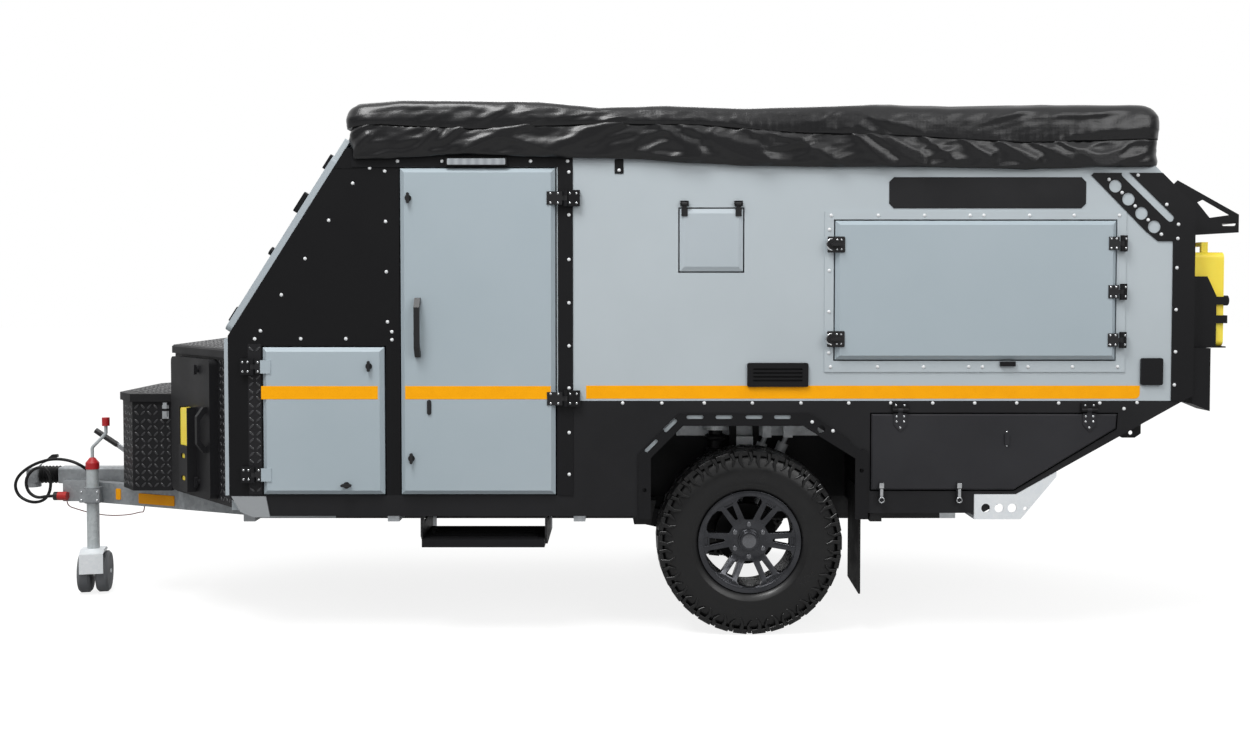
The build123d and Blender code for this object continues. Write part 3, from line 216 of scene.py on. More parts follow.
tyreRubber = rubber("tyreRubber", "0F0F10", "0A0A0B", 0.36, 1.6, 0.02, 0.5)
softRubber = rubber("mouldedRubber", "1C1C1D", "151516", 0.60)
cableRubber = rubber("cableSheath", "161617", "101011", 0.42, 1.0, 0.03)
rollerGrey = rubber("rollerRubber", "6E7073", "5E6063", 0.60)
wireRed = rubber("wireSheathRed", "8E2A28", "7A2422", 0.45, 1.0, 0.02)

# Polyamide plug with a red shell and a black nut at the lead's end
made = newMaterial("polyamideRed", "B3201F", 0.4)
surface(*made[1:], ("B8221F", "A51C1B"), 0.02, 1.2, 0.03)
plugMix = painted(made, ("18181A", None, (0, -endless, -2.652)))


# Cast alloy, graphite paint under clear coat: fine cast grain, a metallic sheen, hub cap and nuts in brighter paint
def castAlloy(name, hubAt=None):
    made = newMaterial(name, "3C3D41", 0.32, 0.85)
    material, tree, shader, place = made
    surface(tree, shader, place, ("4C4D51", "3E3F43"), 0.06, 1.2, 0.02, (0.22, 0.32))
    shader.inputs["Coat Weight"].default_value = 0.2
    shader.inputs["Coat Roughness"].default_value = 0.12
    if hubAt:
        hub = (hubAt[0], 0, hubAt[1])
        offset = addNode(tree, "ShaderNodeVectorMath", {"operation": "SUBTRACT", 1: hub}, {0: place})
        flat = addNode(tree, "ShaderNodeVectorMath", {"operation": "MULTIPLY", 1: (1, 0, 1)}, {0: offset.outputs[0]})
        reach = addNode(tree, "ShaderNodeVectorMath", {"operation": "LENGTH"}, {0: flat.outputs[0]}).outputs["Value"]
        painted(made, ("77787C", None, (4, -endless, 0.0300)),
                ("77787C", None, (4, 0.0563, 0.0833), (3, 0.8986, endless)), extra=reach)
    return material


alloy = castAlloy("graphiteAlloy", (wheelAt[0], wheelAt[2]))
alloySpare = castAlloy("graphiteAlloySpare")

# Chrome plate for latches and bolts: bright, slightly uneven
chrome, *made = newMaterial("chromePlate", "D5D7D9", 0.16, 1.0)
surface(*made, ("DADCDE", "C6C9CC"), 0.02, 2.0, 0.02, (0.12, 0.24))

# White enamelled rivets
rivetWhite, *made = newMaterial("enamelledRivet", "E3E5E6", 0.3)
surface(*made, ("E8EAEB", "D8DADC"), 0.03, 2.0, 0.02)

# Blow-moulded polyethylene cans, waxy yellow, caps black
made = newMaterial("polyethyleneYellow", "FCD21C", 0.42)
surface(*made[1:], ("FFE850", "FADC3C"), 0.12, 2.2, 0.10, (0.36, 0.50))
canYellow = painted(made, ("222224", None, (2, 1.6495, endless), (3, -endless, 0.722)))
made[2].inputs["Subsurface Weight"].default_value = 0.08

# Acrylic lamp lenses: red over amber over clear, moulded with ribs
made = newMaterial("acrylicLamp", "9A1014", 0.12)
lamp = painted(made, ("C96A12", None, (2, -endless, 1.105)), ("C9CBCC", None, (2, -endless, 1.050)))
ribs = addNode(made[1], "ShaderNodeTexWave", {"Scale": 26.0, "bands_direction": "Y"}, {"Vector": made[3]})
bump = addNode(made[1], "ShaderNodeBump", {"Strength": 0.6, "Distance": 0.0015}, {"Height": ribs.outputs["Fac"]})
made[1].links.new(bump.outputs[0], made[2].inputs["Normal"])
made[2].inputs["Coat Weight"].default_value = 0.6


# Retroreflective film: prism cells about 5 mm across under a clear skin
def film(name, light, dark):
    material, tree, shader, place = newMaterial(name, light, 0.45)
    cells = addNode(tree, "ShaderNodeTexVoronoi", {"Scale": 180.0, "feature": "DISTANCE_TO_EDGE"}, {"Vector": place})
    edge = addNode(tree, "ShaderNodeMapRange", {1: 0.02, 2: 0.12}, {0: cells.outputs["Distance"]}).outputs[0]
    cloud = addNode(tree, "ShaderNodeTexNoise", {"Scale": 14.0, "Detail": 2.0}, {"Vector": place}).outputs["Fac"]
    mixed = addNode(tree, "ShaderNodeMath", {"operation": "MULTIPLY_ADD", 1: 0.5}, {0: edge, 2: cloud}).outputs[0]
    spread = addNode(tree, "ShaderNodeMapRange", {1: 0.4, 2: 1.1}, {0: mixed}).outputs[0]
    colour = addNode(tree, "ShaderNodeMix", {"data_type": "RGBA", 6: linear(dark), 7: linear(light)}, {0: spread})
    tree.links.new(colour.outputs[2], shader.inputs["Base Color"])
    shader.inputs["Specular IOR Level"].default_value = 0.15
    return material


stripeFilm = film("reflectiveFilmAmber", "FFAF06", "F6A402")
orangeFilm = film("reflectorOrange", "F7A814", "EA9208")

# Clear lamp strip of the light bar: frosted polycarbonate over a dark tray
lampStrip, tree, shader, place = newMaterial("frostedPolycarbonate", "9A9EA2", 0.3)
ribs = addNode(tree, "ShaderNodeTexWave", {"Scale": 9.0, "bands_direction": "X"}, {"Vector": place}).outputs["Fac"]
colour = addNode(tree, "ShaderNodeMix", {"data_type": "RGBA", 6: linear("90959A"), 7: linear("A6ABAF")}, {0: ribs})
tree.links.new(colour.outputs[2], shader.inputs["Base Color"])

# PVC-coated polyester: glossy black skin, 1 mm weave drawn as 3 mm so it shows, crinkles of a few centimetres
coverCloth, tree, shader, place = newMaterial("pvcCoatedPolyester", "0F0F11", 0.36)
tone = addNode(tree, "ShaderNodeTexNoise", {"Scale": 3.0, "Detail": 5.0}, {"Vector": place}).outputs["Fac"]
colour = addNode(tree, "ShaderNodeMix", {"data_type": "RGBA", 6: linear("0E0E10"), 7: linear("19191B")}, {0: tone})
tree.links.new(colour.outputs[2], shader.inputs["Base Color"])
crinkle = addNode(tree, "ShaderNodeTexNoise", {"Scale": 34.0, "Detail": 5.0, "Roughness": 0.6, "Distortion": 0.8},
                  {"Vector": place}).outputs["Fac"]
warp, weft = [addNode(tree, "ShaderNodeTexWave", {"Scale": 52.0, "bands_direction": way}, {"Vector": place})
              for way in ("X", "Z")]
weave = addNode(tree, "ShaderNodeMath", {"operation": "ADD"},
                {0: warp.outputs["Fac"], 1: weft.outputs["Fac"]}).outputs[0]
bumpFine = addNode(tree, "ShaderNodeBump", {"Strength": 0.25, "Distance": 0.0004}, {"Height": weave})
bumpCrinkle = addNode(tree, "ShaderNodeBump", {"Strength": 0.5, "Distance": 0.0012},
                      {"Height": crinkle, "Normal": bumpFine.outputs[0]})
tree.links.new(bumpCrinkle.outputs[0], shader.inputs["Normal"])
rough = addNode(tree, "ShaderNodeMapRange", {3: 0.24, 4: 0.36}, {0: tone}).outputs[0]
tree.links.new(rough, shader.inputs["Roughness"])
shader.inputs["Specular IOR Level"].default_value = 0.5

# Black tread sheet for the raised bars, lighter and smoother than the box sheet: painted highlight on the bars over
# some rubbed wear
treadWornAndLit, tree, shader, place = powderCoat("treadSheetBlack", "343437", "29292B", 0.26, 2.0, 0.02)
shader.inputs["Specular IOR Level"].default_value = 0.7
print("materials made:", len(bpy.data.materials))

finishes = {
    "roof_panel": rearGrey, "entry_door": doorGrey, "vent_flap": flapGrey, "body_fittings": fittingMix,
    "jockey_tube": tubeZinc, "handbrake_lever": leverZinc, "coupling_head": headZinc, "springs_and_shocks": springMix,
    "tail_lamps": lamp, "jerry_cans": canYellow, "jockey_wheels": rollerGrey, "roof_cover": coverCloth,
    "breakaway_wire": wireRed, "trailer_lead": cableRubber, "drawbar_rails": shadedNoseZinc, "overrun_housing": shadedNoseZinc,
    "jockey_clamp": shadedNoseZinc, "chassis_rails": railZinc, "cross_members": crossZinc, "lead_plug": plugMix,
    "spare_rim": alloySpare, "tongue_box": boxBlack,
}
for name, finish in (("front_locker_door", doorGrey), ("side_hatch", doorGrey), ("rear_locker_lid", lidBlack),
                     ("side_front_panel", frontBlack)):
    finishes.update({name + hand: finish for side, label, hand in sides})
bySlot = {"grey_panel": wallGrey, "black_panel": panelBlack, "black_steel": steelBlack, "galvanised": zinc,
          "tyre": tyreRubber, "alloy": alloy, "rubber": softRubber}
slotOf = {part["node"]: part["material_slot"] for part in frame["record"]["subparts"]}
for name, part in nodes.items():
    part.data.materials.clear()
    part.data.materials.append(finishes.get(name) or bySlot[slotOf[name]])


def newPiece(name, mesh, material, body):
    piece = bpy.data.objects.new(name, mesh)
    scene.collection.objects.link(piece)
    if material and not mesh.materials:
        mesh.materials.append(material)
    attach(piece, body)
    return piece


# Mesh of a shape that is done, faces outward and all smooth or all flat, or left as they are
def finished(shape, name, smooth=None):
    if smooth is not None:
        bmesh.ops.recalc_face_normals(shape, faces=shape.faces)
        for face in shape.faces:
            face.smooth = smooth
    mesh = bpy.data.meshes.new(name)
    shape.to_mesh(mesh)
    shape.free()
    return mesh


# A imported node's shape, its doubled vertices joined
def packedShape(node):
    shape = bmesh.new()
    shape.from_mesh(nodes[node].data)
    shape.transform(nodes[node].matrix_world)
    bmesh.ops.remove_doubles(shape, verts=shape.verts, dist=0.00002)
    return shape


# Geometry Nodes group with named inputs, and its end: a block on every point, turned, made real and given its finish
def newTree(name, sockets):
    tree = bpy.data.node_groups.new(name, "GeometryNodeTree")
    for label, kind in (("Geometry", "Geometry"), *sockets, ("Finish", "Material")):
        tree.interface.new_socket(label, in_out="INPUT", socket_type="NodeSocket" + kind)
    tree.interface.new_socket("Geometry", in_out="OUTPUT", socket_type="NodeSocketGeometry")
    return tree, addNode(tree, "NodeGroupInput").outputs


def closeTree(tree, start, points, block, turn, smooth):
    spin = addNode(tree, "FunctionNodeEulerToRotation", links={0: turn})
    copies = addNode(tree, "GeometryNodeInstanceOnPoints",
                     links={"Points": points, "Instance": block, "Rotation": spin.outputs[0]})
    real = addNode(tree, "GeometryNodeRealizeInstances", links={0: copies.outputs[0]}).outputs[0]
    if smooth:
        real = addNode(tree, "GeometryNodeSetShadeSmooth", links={"Geometry": real}).outputs[0]
    finish = addNode(tree, "GeometryNodeSetMaterial", links={"Geometry": real, "Material": start["Finish"]})
    addNode(tree, "NodeGroupOutput", links={0: finish.outputs[0]})
    return tree


# A low dome on every point, turned by the point's own "turn"
def domeTree():
    tree, start = newTree("domesOnPoints", (("Length", "Float"), ("Width", "Float"), ("Height", "Float")))
    ball = addNode(tree, "GeometryNodeMeshUVSphere", {"Segments": 10, "Rings": 6, "Radius": 0.5})
    scale = addNode(tree, "ShaderNodeCombineXYZ", links={0: start["Length"], 1: start["Width"], 2: start["Height"]})
    dome = addNode(tree, "GeometryNodeTransform", links={"Geometry": ball.outputs["Mesh"], "Scale": scale.outputs[0]})
    turn = addNode(tree, "GeometryNodeInputNamedAttribute", {"data_type": "FLOAT_VECTOR", "Name": "turn"})
    return closeTree(tree, start, start["Geometry"], dome.outputs[0], turn.outputs[0], True)


# Copies of a block round the Y axis
def ringTree():
    tree, start = newTree("blocksRoundAxle", (("Count", "Int"), ("Offset", "Float")))
    points = addNode(tree, "GeometryNodePoints", links={"Count": start["Count"]})
    number = addNode(tree, "GeometryNodeInputIndex").outputs[0]
    moved = addNode(tree, "ShaderNodeMath", {"operation": "ADD"}, {0: number, 1: start["Offset"]}).outputs[0]
    share = addNode(tree, "ShaderNodeMath", {"operation": "DIVIDE"}, {0: moved, 1: start["Count"]}).outputs[0]
    angle = addNode(tree, "ShaderNodeMath", {"operation": "MULTIPLY", 1: 2 * math.pi}, {0: share}).outputs[0]
    turn = addNode(tree, "ShaderNodeCombineXYZ", links={1: angle}).outputs[0]
    return closeTree(tree, start, points.outputs[0], start["Geometry"], turn, False)


domes, ring = domeTree(), ringTree()


# Runs a tree on a mesh and hands back the plain result
def grown(mesh, tree, inputs):
    holder = bpy.data.objects.new("holder", mesh)
    scene.collection.objects.link(holder)
    modifier = holder.modifiers.new("grow", "NODES")
    modifier.node_group = tree
    for item in tree.interface.items_tree:
        if item.in_out == "INPUT" and item.name in inputs:
            modifier[item.identifier] = inputs[item.name]
    ready = holder.evaluated_get(bpy.context.evaluated_depsgraph_get())
    made = bpy.data.meshes.new_from_object(ready)
    bpy.data.objects.remove(holder)
    return made


def scatter(name, spots, size, material, body):
    mesh = bpy.data.meshes.new(name + "Points")
    mesh.from_pydata([spot[0] for spot in spots], [], [])
    turns = mesh.attributes.new("turn", "FLOAT_VECTOR", "POINT")
    turns.data.foreach_set("vector", [a for spot in spots for a in spot[1]])
    made = grown(mesh, domes, {"Length": size[0], "Width": size[1], "Height": size[2], "Finish": material})
    made.name = name
    return newPiece(name, made, None, body)


# Euler angles that stand a dome's height along a direction, with its length turned about that
def facing(normal, spin=0.0):
    base = Vector(normal).to_track_quat("Z", "Y").to_matrix() @ Matrix.Rotation(spin, 3, "Z")
    return tuple(base.to_euler())


# Rivets: tables of x, z in millimetres on the door side, face y of each, and rows across the rear wall in metres
rivets = {
    "size": (0.0155, 0.0155, 0.009),
    "panel": ((-1018, 1938), (-1121, 1781), (-1223, 1619), (-1325, 1465), (-1415, 1312), (-1440, 1278), (-1244, 1278),
              (-1052, 1278), (-946, 2002), (-882, 1989), (-880, 1776), (-878, 1563), (-874, 1350), (-856, 1308),
              (-856, 1274)),
    "post": tuple((-102, z) for z in (1985, 1804, 1615, 1431, 1248, 1068, 878, 699)),
    "skirt": tuple((x, 1004) for x in (126, 293, 474, 679, 886, 1090, 1269, 1448, 1627, 1806, 1985, 2160)) + (
        (2319, 1006), (2264, 980)),
    "corner": ((2475, 1082), (2478, 1223), (2478, 1402), (2479, 1580), (2481, 1704), (2483, 1764), (2432, 1848),
               (2309, 1972), (2242, 1898), (2298, 1841), (2354, 1783), (2411, 1722), (2186, 1954)),
    "frame": tuple((x, z) for z in (1802, 1159) for x in (1010, 1210, 1406, 1599, 1657, 1851, 2040, 2232)) + tuple(
        (1003, z) for z in (1742, 1568, 1393, 1218)),
    "arch": ((933, 924), (1022, 886)),
    "header": tuple((x, 2031) for x in (-827, -639, -264, -107)),
    "faces": {"panel": 0.980, "post": 0.984, "skirt": 0.980, "corner": 0.985, "frame": 0.985, "arch": 0.990,
              "header": 0.984},
    "rear": {"x": 2.5562, "half": 0.93, "count": 13, "heights": (1.800, 1.085)},
}
spots = []
for side, label, hand in sides:
    for face, y in rivets["faces"].items():
        if side < 0 or face not in ("post", "header"):
            spots += [((x / 1000, side * y, z / 1000), facing((0, side, 0))) for x, z in rivets[face]]
rear = rivets["rear"]
for y in np.linspace(-rear["half"], rear["half"], rear["count"]):
    spots += [((rear["x"], y, z), facing((1, 0, 0))) for z in rear["heights"]]
scatter("whiteRivets", spots, rivets["size"], rivetWhite, "trailer")

# Entry door hinges slid up along their common pin: old and new heights, and where their leaves lie, in metres
hingeSlide = {"moves": ((0.838, 1.025), (1.840, 1.874)), "half": 0.048, "skin": -1.004, "doorLeaf": -0.215,
              "knuckle": -0.1598, "fixedLeaf": (-0.135, -0.045), "slack": 0.0002}


# Moves the faces that belong to a leaf and closes the hole; faces of the skin itself stay
def slideHinges(name, node, body, belongs, skin):
    shape = packedShape(node)
    for old, new in hingeSlide["moves"]:
        leaf = [f for f in shape.faces
                if all(abs(v.co.z - old) < hingeSlide["half"] and belongs(v.co) for v in f.verts)
                and not (f.normal.y < -0.9 and all(abs(v.co.y - skin) < hingeSlide["slack"] for v in f.verts))]
        split = bmesh.ops.split(shape, geom=leaf)["geom"]
        verts = {v for f in split if isinstance(f, bmesh.types.BMFace) for v in f.verts}
        bmesh.ops.holes_fill(shape, edges=[e for e in shape.edges if e.is_boundary], sides=0)
        bmesh.ops.translate(shape, verts=list(verts), vec=(0, 0, new - old))
    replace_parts(newPiece(name, finished(shape, name, False), nodes[node].data.materials[0], body), node)


slideHinges("entryDoor", "entry_door", "door", lambda co: co.x > hingeSlide["doorLeaf"] and (
    co.y < hingeSlide["skin"] + hingeSlide["slack"] or co.x > hingeSlide["knuckle"]), hingeSlide["skin"])
slideHinges("fixedHinges", "door_hinges", "trailer",
            lambda co: hingeSlide["fixedLeaf"][0] < co.x < hingeSlide["fixedLeaf"][1] and co.y < 0, 0)

# Bolt heads on the hinge leaves: pin x, face y, heights, side of the fixed leaf, its bolts' distances from the pin,
# the moving leaf's, body of the moving leaf, sides of the caravan
bolt = {"size": (0.0105, 0.0105, 0.006), "spread": 0.020, "lift": 0.004}
hinges = (
    (-0.115, 1.004, (1.025, 1.874), 1, (0.018, 0.046), (0.032, 0.064), "door", sides[:1]),
    (-1.447, 1.004, (0.700, 1.160), -1, (0.018, 0.040), (0.026,), "front_locker", sides),
    (2.240, 1.004, (1.274, 1.4785, 1.683), 1, (0.015,), (0.026, 0.048), "hatch", sides),
)
lidHinge = {"x": (1.308, 2.113), "leafY": 0.992, "fixedY": 0.990, "fixed": ((-0.018, 0.995), (0.018, 0.995)),
            "leaf": ((-0.016, 0.948), (0.016, 0.948), (-0.016, 0.926), (0.016, 0.926), (0.0, 0.900))}
fixedSpots, movingSpots = [], {}
for pinX, y, heights, way, fixedAt, movingAt, body, where in hinges:
    for side, label, hand in where:
        spots = movingSpots.setdefault(body if body == "door" else body + hand, [])
        for z in heights:
            for dz in (-bolt["spread"], bolt["spread"]):
                fixedSpots += [((pinX + way * along, side * y, z + dz), facing((0, side, 0))) for along in fixedAt]
                spots += [((pinX - way * along, side * (y + bolt["lift"]), z + dz), facing((0, side, 0)))
                          for along in movingAt]
for side, label, hand in sides:
    spots = movingSpots.setdefault("rear_lid" + hand, [])
    for x in lidHinge["x"]:
        spots += [((x + dx, side * lidHinge["leafY"], z), facing((0, side, 0))) for dx, z in lidHinge["leaf"]]
        fixedSpots += [((x + dx, side * lidHinge["fixedY"], z), facing((0, side, 0))) for dx, z in lidHinge["fixed"]]
for body, spots in movingSpots.items():
    scatter("hingeBolts." + body, spots, bolt["size"], chrome, body)
scatter("hingeBolts.fixed", fixedSpots, bolt["size"], chrome, "trailer")
print("rivets and bolts set")

# Raised tread bars on the checker plate: corner, run, rise and outward direction of each sheet, in metres, the paired
# sheets given for the far side; the nose lid widens from its front edge
tread = {
    "pitch": 0.030, "size": (0.029, 0.0105, 0.0055),
    "paired": (((-2.179, 0.400, 0.546), (0.190, 0, 0), (0, 0, 0.342), (0, 1, 0)),
               ((-2.179, 0.400, 0.888), (0.128, 0, 0), (0, 0, 0.066), (0, 1, 0)),
               ((-2.267, 0.282, 0.548), (0.088, 0.118, 0), (0, 0, 0.400), (-0.802, 0.597, 0)),
               ((-1.6545, 0.782, 0.552), (0.0966, 0.1145, 0), (0, 0, 0.630), (-0.764, 0.645, 0))),
    "front": (((-2.267, -0.275, 0.548), (0, 0.550, 0), (0, 0, 0.385), (-1, 0, 0)),
              ((-1.971, -0.395, 1.005), (0, 0.790, 0), (0, 0, 0.175), (-1, 0, 0))),
    "tongueLid": (((-2.185, -0.385, 0.997), (0.180, 0, 0), (0, 0.770, 0), (0, 0, 1)),
                  ((-2.262, -0.270, 0.997), (0.070, 0, 0), (0, 0.540, 0), (0, 0, 1))),
    "noseLid": {"x": (-1.955, -1.58), "z": 1.229, "front": (-1.971, 0.407), "back": (-1.555, 0.900), "inset": 0.02},
}


def treadSpots(corner, run, rise, outward, margin=0.010):
    corner, run, rise, outward = Vector(corner), Vector(run), Vector(rise), Vector(outward)
    across = int((run.length - 2 * margin) / tread["pitch"])
    up = int((rise.length - 2 * margin) / tread["pitch"])
    spots = []
    for i in range(across + 1):
        for k in range(up + 1):
            at = corner + run.normalized() * (run.length / 2 + (i - across / 2) * tread["pitch"])
            at += rise.normalized() * (rise.length / 2 + (k - up / 2) * tread["pitch"])
            base = Matrix((run.normalized(), rise.normalized(), outward.normalized())).transposed()
            turn = base @ Matrix.Rotation(math.radians(45 if (i + k) % 2 else -45), 3, "Z")
            spots.append((tuple(at), tuple(turn.to_euler())))
    return spots


boxSpots = []
for side, label, hand in sides:
    for sheet in tread["paired"]:
        boxSpots += treadSpots(*[(x, side * y, z) for x, y, z in sheet])
for sheet in tread["front"]:
    boxSpots += treadSpots(*sheet)
scatter("boxTread", boxSpots, tread["size"], treadWornAndLit, "trailer")
scatter("tongueLidTread", [spot for sheet in tread["tongueLid"] for spot in treadSpots(*sheet)], tread["size"],
        treadWornAndLit, "tongue_lid")
lidSpots, noseLid = [], tread["noseLid"]
(x0, half0), (x1, half1) = noseLid["front"], noseLid["back"]
for x in np.arange(*noseLid["x"], tread["pitch"]):
    half = half0 + (x - x0) * (half1 - half0) / (x1 - x0) - noseLid["inset"]
    lidSpots += treadSpots((x - 0.016, -half, noseLid["z"]), (0.032, 0, 0), (0, 2 * half, 0), (0, 0, 1))
scatter("noseLidTread", lidSpots, tread["size"], treadWornAndLit, "nose_lid")


# A thin plate with an eased rim: outline in its own plane, thickness along the outward direction
def plate(name, outline, origin, run, rise, thick, material, body, edge=0.002):
    origin, run, rise = Vector(origin), Vector(run).normalized(), Vector(rise).normalized()
    shape = bmesh.new()
    face = shape.faces.new([shape.verts.new(origin + run * u + rise * v) for u, v in outline])
    raised = bmesh.ops.extrude_face_region(shape, geom=[face])["geom"]
    moved = [v for v in raised if isinstance(v, bmesh.types.BMVert)]
    bmesh.ops.translate(shape, verts=moved, vec=run.cross(rise) * thick)
    bmesh.ops.recalc_face_normals(shape, faces=shape.faces)
    rim = [e for e in shape.edges if all(v in moved for v in e.verts)]
    bmesh.ops.bevel(shape, geom=rim, offset=min(edge, thick * 0.6), segments=2, affect="EDGES", profile=0.6)
    return newPiece(name, finished(shape, name, False), material, body)


# A plate that faces outward on the near side (-1) or the far side (1), its outline given as x, z
def sidePlate(name, side, outline, y, thick, material, body, edge=0.002):
    turned = [(-side * x, z) for x, z in outline][::-side]
    plate(name, turned, (0, side * y, 0), (-side, 0, 0), (0, 0, 1), thick, material, body, edge)


def rounded(x0, x1, z0, z1, r, corners=(1, 1, 1, 1), steps=5):
    points = []
    for (cx, cz, start), on in zip(((x1 - r, z1 - r, 0), (x0 + r, z1 - r, 90), (x0 + r, z0 + r, 180),
                                    (x1 - r, z0 + r, 270)), corners):
        if on:
            for k in range(steps + 1):
                a = math.radians(start + 90 * k / steps)
                points.append((cx + r * math.cos(a), cz + r * math.sin(a)))
        else:
            points.append((cx + r * (1 if start in (0, 270) else -1), cz + r * (1 if start in (0, 90) else -1)))
    return points


# Amber stripe: from x, to x, face y, body, rounded corners, sides; the wall's run ends in a round lower corner
stripe = {"low": 1.0225, "high": 1.0785, "thick": 0.0009, "corner": 0.022, "edge": 0.0004}
for name, x0, x1, y, body, corners, where in (
        ("stripe.wall", -0.030, 2.330, 0.980, "trailer", (0, 0, 0, 1), sides),
        ("stripe.door", -0.797, -0.179, 1.004, "door", (0, 0, 0, 0), sides[:1]),
        ("stripe.locker", -1.408, -0.913, 1.004, "front_locker", (0, 0, 0, 0), sides),
):
    for side, label, hand in where:
        sidePlate(f"{name}.{label}", side, rounded(x0, x1, stripe["low"], stripe["high"], stripe["corner"], corners), y,
                  stripe["thick"], stripeFilm, body + hand if body == "front_locker" else body,
                  stripe["edge"])

# Bare plate on the wall: an octagon of black sheet, left blank
plateSpec = {"x": (1.256, 2.091), "z": (1.832, 1.964), "cut": 0.020, "thick": 0.003}
(x0, x1), (z0, z1), cut = plateSpec["x"], plateSpec["z"], plateSpec["cut"]
octagon = [(x0 + cut, z0), (x1 - cut, z0), (x1, z0 + cut), (x1, z1 - cut), (x1 - cut, z1), (x0 + cut, z1),
           (x0, z1 - cut), (x0, z0 + cut)]
sidePlate("barePlate", -1, octagon, 0.980, plateSpec["thick"], panelBlack, "trailer")

# Checker strip beside the front locker, its tread left off round the hinges
strip = {"x": (-1.470, -1.413), "z": (0.613, 1.255), "y": 0.980, "thick": 0.0015, "edge": 0.0006, "margin": 0.008,
         "hinges": (0.700, 1.160), "clear": 0.045}
(x0, x1), (z0, z1) = strip["x"], strip["z"]
for side, label, hand in sides:
    sidePlate("lockerStrip." + label, side, [(x0, z0), (x1, z0), (x1, z1), (x0, z1)], strip["y"], strip["thick"],
              panelBlack, "trailer", strip["edge"])
    bars = treadSpots((x0, side * (strip["y"] + strip["thick"]), z0), (x1 - x0, 0, 0), (0, 0, z1 - z0), (0, side, 0),
                      strip["margin"])
    scatter("lockerStripTread." + label,
            [bar for bar in bars if all(abs(bar[0][2] - z) > strip["clear"] for z in strip["hinges"])],
            tread["size"], treadWornAndLit, "trailer")

# Dark sheet behind the louvres, painted shade for the vent's inside, and the lamp strip on the light bar: box with
# corner, face y, thickness, edge
smallPlates = {"ventBacking": ((0.672, 0.900, 1.085, 1.165, 0.006), 0.980, 0.002, steelBlack, "black_steel", 0.0005),
               "lightBarLens": ((-0.615, -0.369, 2.014, 2.040, 0.004), 1.006, 0.002, lampStrip, "grey_panel", 0.001)}
for name, (box, y, thick, finish, slot, edge) in smallPlates.items():
    sidePlate(name, -1, rounded(*box), y, thick, finish, "trailer", edge)

# Orange reflectors on the drawbar's outer faces, which start at nose x, y and spread by a slope
reflectors = {"lift": 0.004, "pads": ((-2.346, -2.318, 0.462, 0.516), (-2.214, -2.012, 0.452, 0.502)),
              "nose": (-2.530, 0.095), "slope": 425 / 975, "corner": 0.006, "edge": 0.0015}
for side, label, hand in sides:
    for index, (xa, xb, za, zb) in enumerate(reflectors["pads"]):
        if side > 0 and index == 0:
            continue
        noseX, noseY = reflectors["nose"]
        ya, yb = [side * (noseY + (x - noseX) * reflectors["slope"]) for x in (xa, xb)]
        run = Vector((xb - xa, yb - ya, 0)) * (-side)
        plate(f"reflector.{index}.{label}", rounded(0, run.length, za, zb, reflectors["corner"]),
              (xa, ya, 0) if side < 0 else (xb, yb, 0), run, (0, 0, 1), reflectors["lift"], orangeFilm, "trailer",
              reflectors["edge"])

# Inside the wheel arches: zinc edge strip on the inner wall, two black posts with a zinc plate between them
archParts = (
    ("archStrip", (0.370, 1.084, 0.818, 0.865), 0.557, 0.005, zinc, "galvanised"),
    ("archPost.front", (0.610, 0.640, 0.736, 0.880), 0.600, 0.034, steelBlack, "black_steel"),
    ("archPost.rear", (0.716, 0.742, 0.736, 0.880), 0.600, 0.034, steelBlack, "black_steel"),
    ("archPlate", (0.640, 0.716, 0.736, 0.822), 0.604, 0.030, zinc, "galvanised"),
)
for side, label, hand in sides:
    for name, box, y, thick, finish, slot in archParts:
        sidePlate(f"{name}.{label}", side, rounded(*box, 0.004), y, thick, finish, "trailer")

# Pale sheet that shows through the arch frame's upper and front slots: centre x, z, lean in degrees
slotSheet = {"half": (0.039, 0.0105), "corner": 0.004, "y": 0.9802, "thick": 0.0012, "edge": 0.0004,
             "at": ((0.434, 0.945, 0), (0.558, 0.945, 0), (0.686, 0.945, 0), (0.807, 0.945, 0), (0.330, 0.908, 45),
                    (0.248, 0.822, 45))}
wide, tall = slotSheet["half"]
for side, label, hand in sides:
    for index, (x, z, lean) in enumerate(slotSheet["at"]):
        c, s = math.cos(math.radians(lean)), math.sin(math.radians(lean))
        outline = [(x + u * c - v * s, z + u * s + v * c)
                   for u, v in rounded(-wide, wide, -tall, tall, slotSheet["corner"])]
        sidePlate(f"slotSheet.{index}.{label}", side, outline, slotSheet["y"], slotSheet["thick"], wallGrey, "trailer",
                  slotSheet["edge"])


# Wire bent round a centre in the side's plane: degrees of start and sweep, capped unless it closes
def bentWire(shape, centre, radius, tube, start, sweep, steps, segments):
    closed, rings = sweep == 360, []
    for a in np.radians(start + np.linspace(0, sweep, steps, not closed)):
        outward = Vector((math.cos(a), 0, math.sin(a)))
        rings.append([shape.verts.new(Vector(centre) + outward * (radius + tube * math.cos(b))
                                      + Vector((0, tube * math.sin(b), 0)))
                      for b in np.linspace(0, 2 * math.pi, segments, False)])
    for first, second in zip(rings, rings[1:] + rings[:1] if closed else rings[1:]):
        for i in range(segments):
            j = (i + 1) % segments
            shape.faces.new((first[i], first[j], second[j], second[i]))
    if not closed:
        shape.faces.new(rings[0])
        shape.faces.new(rings[-1][::-1])


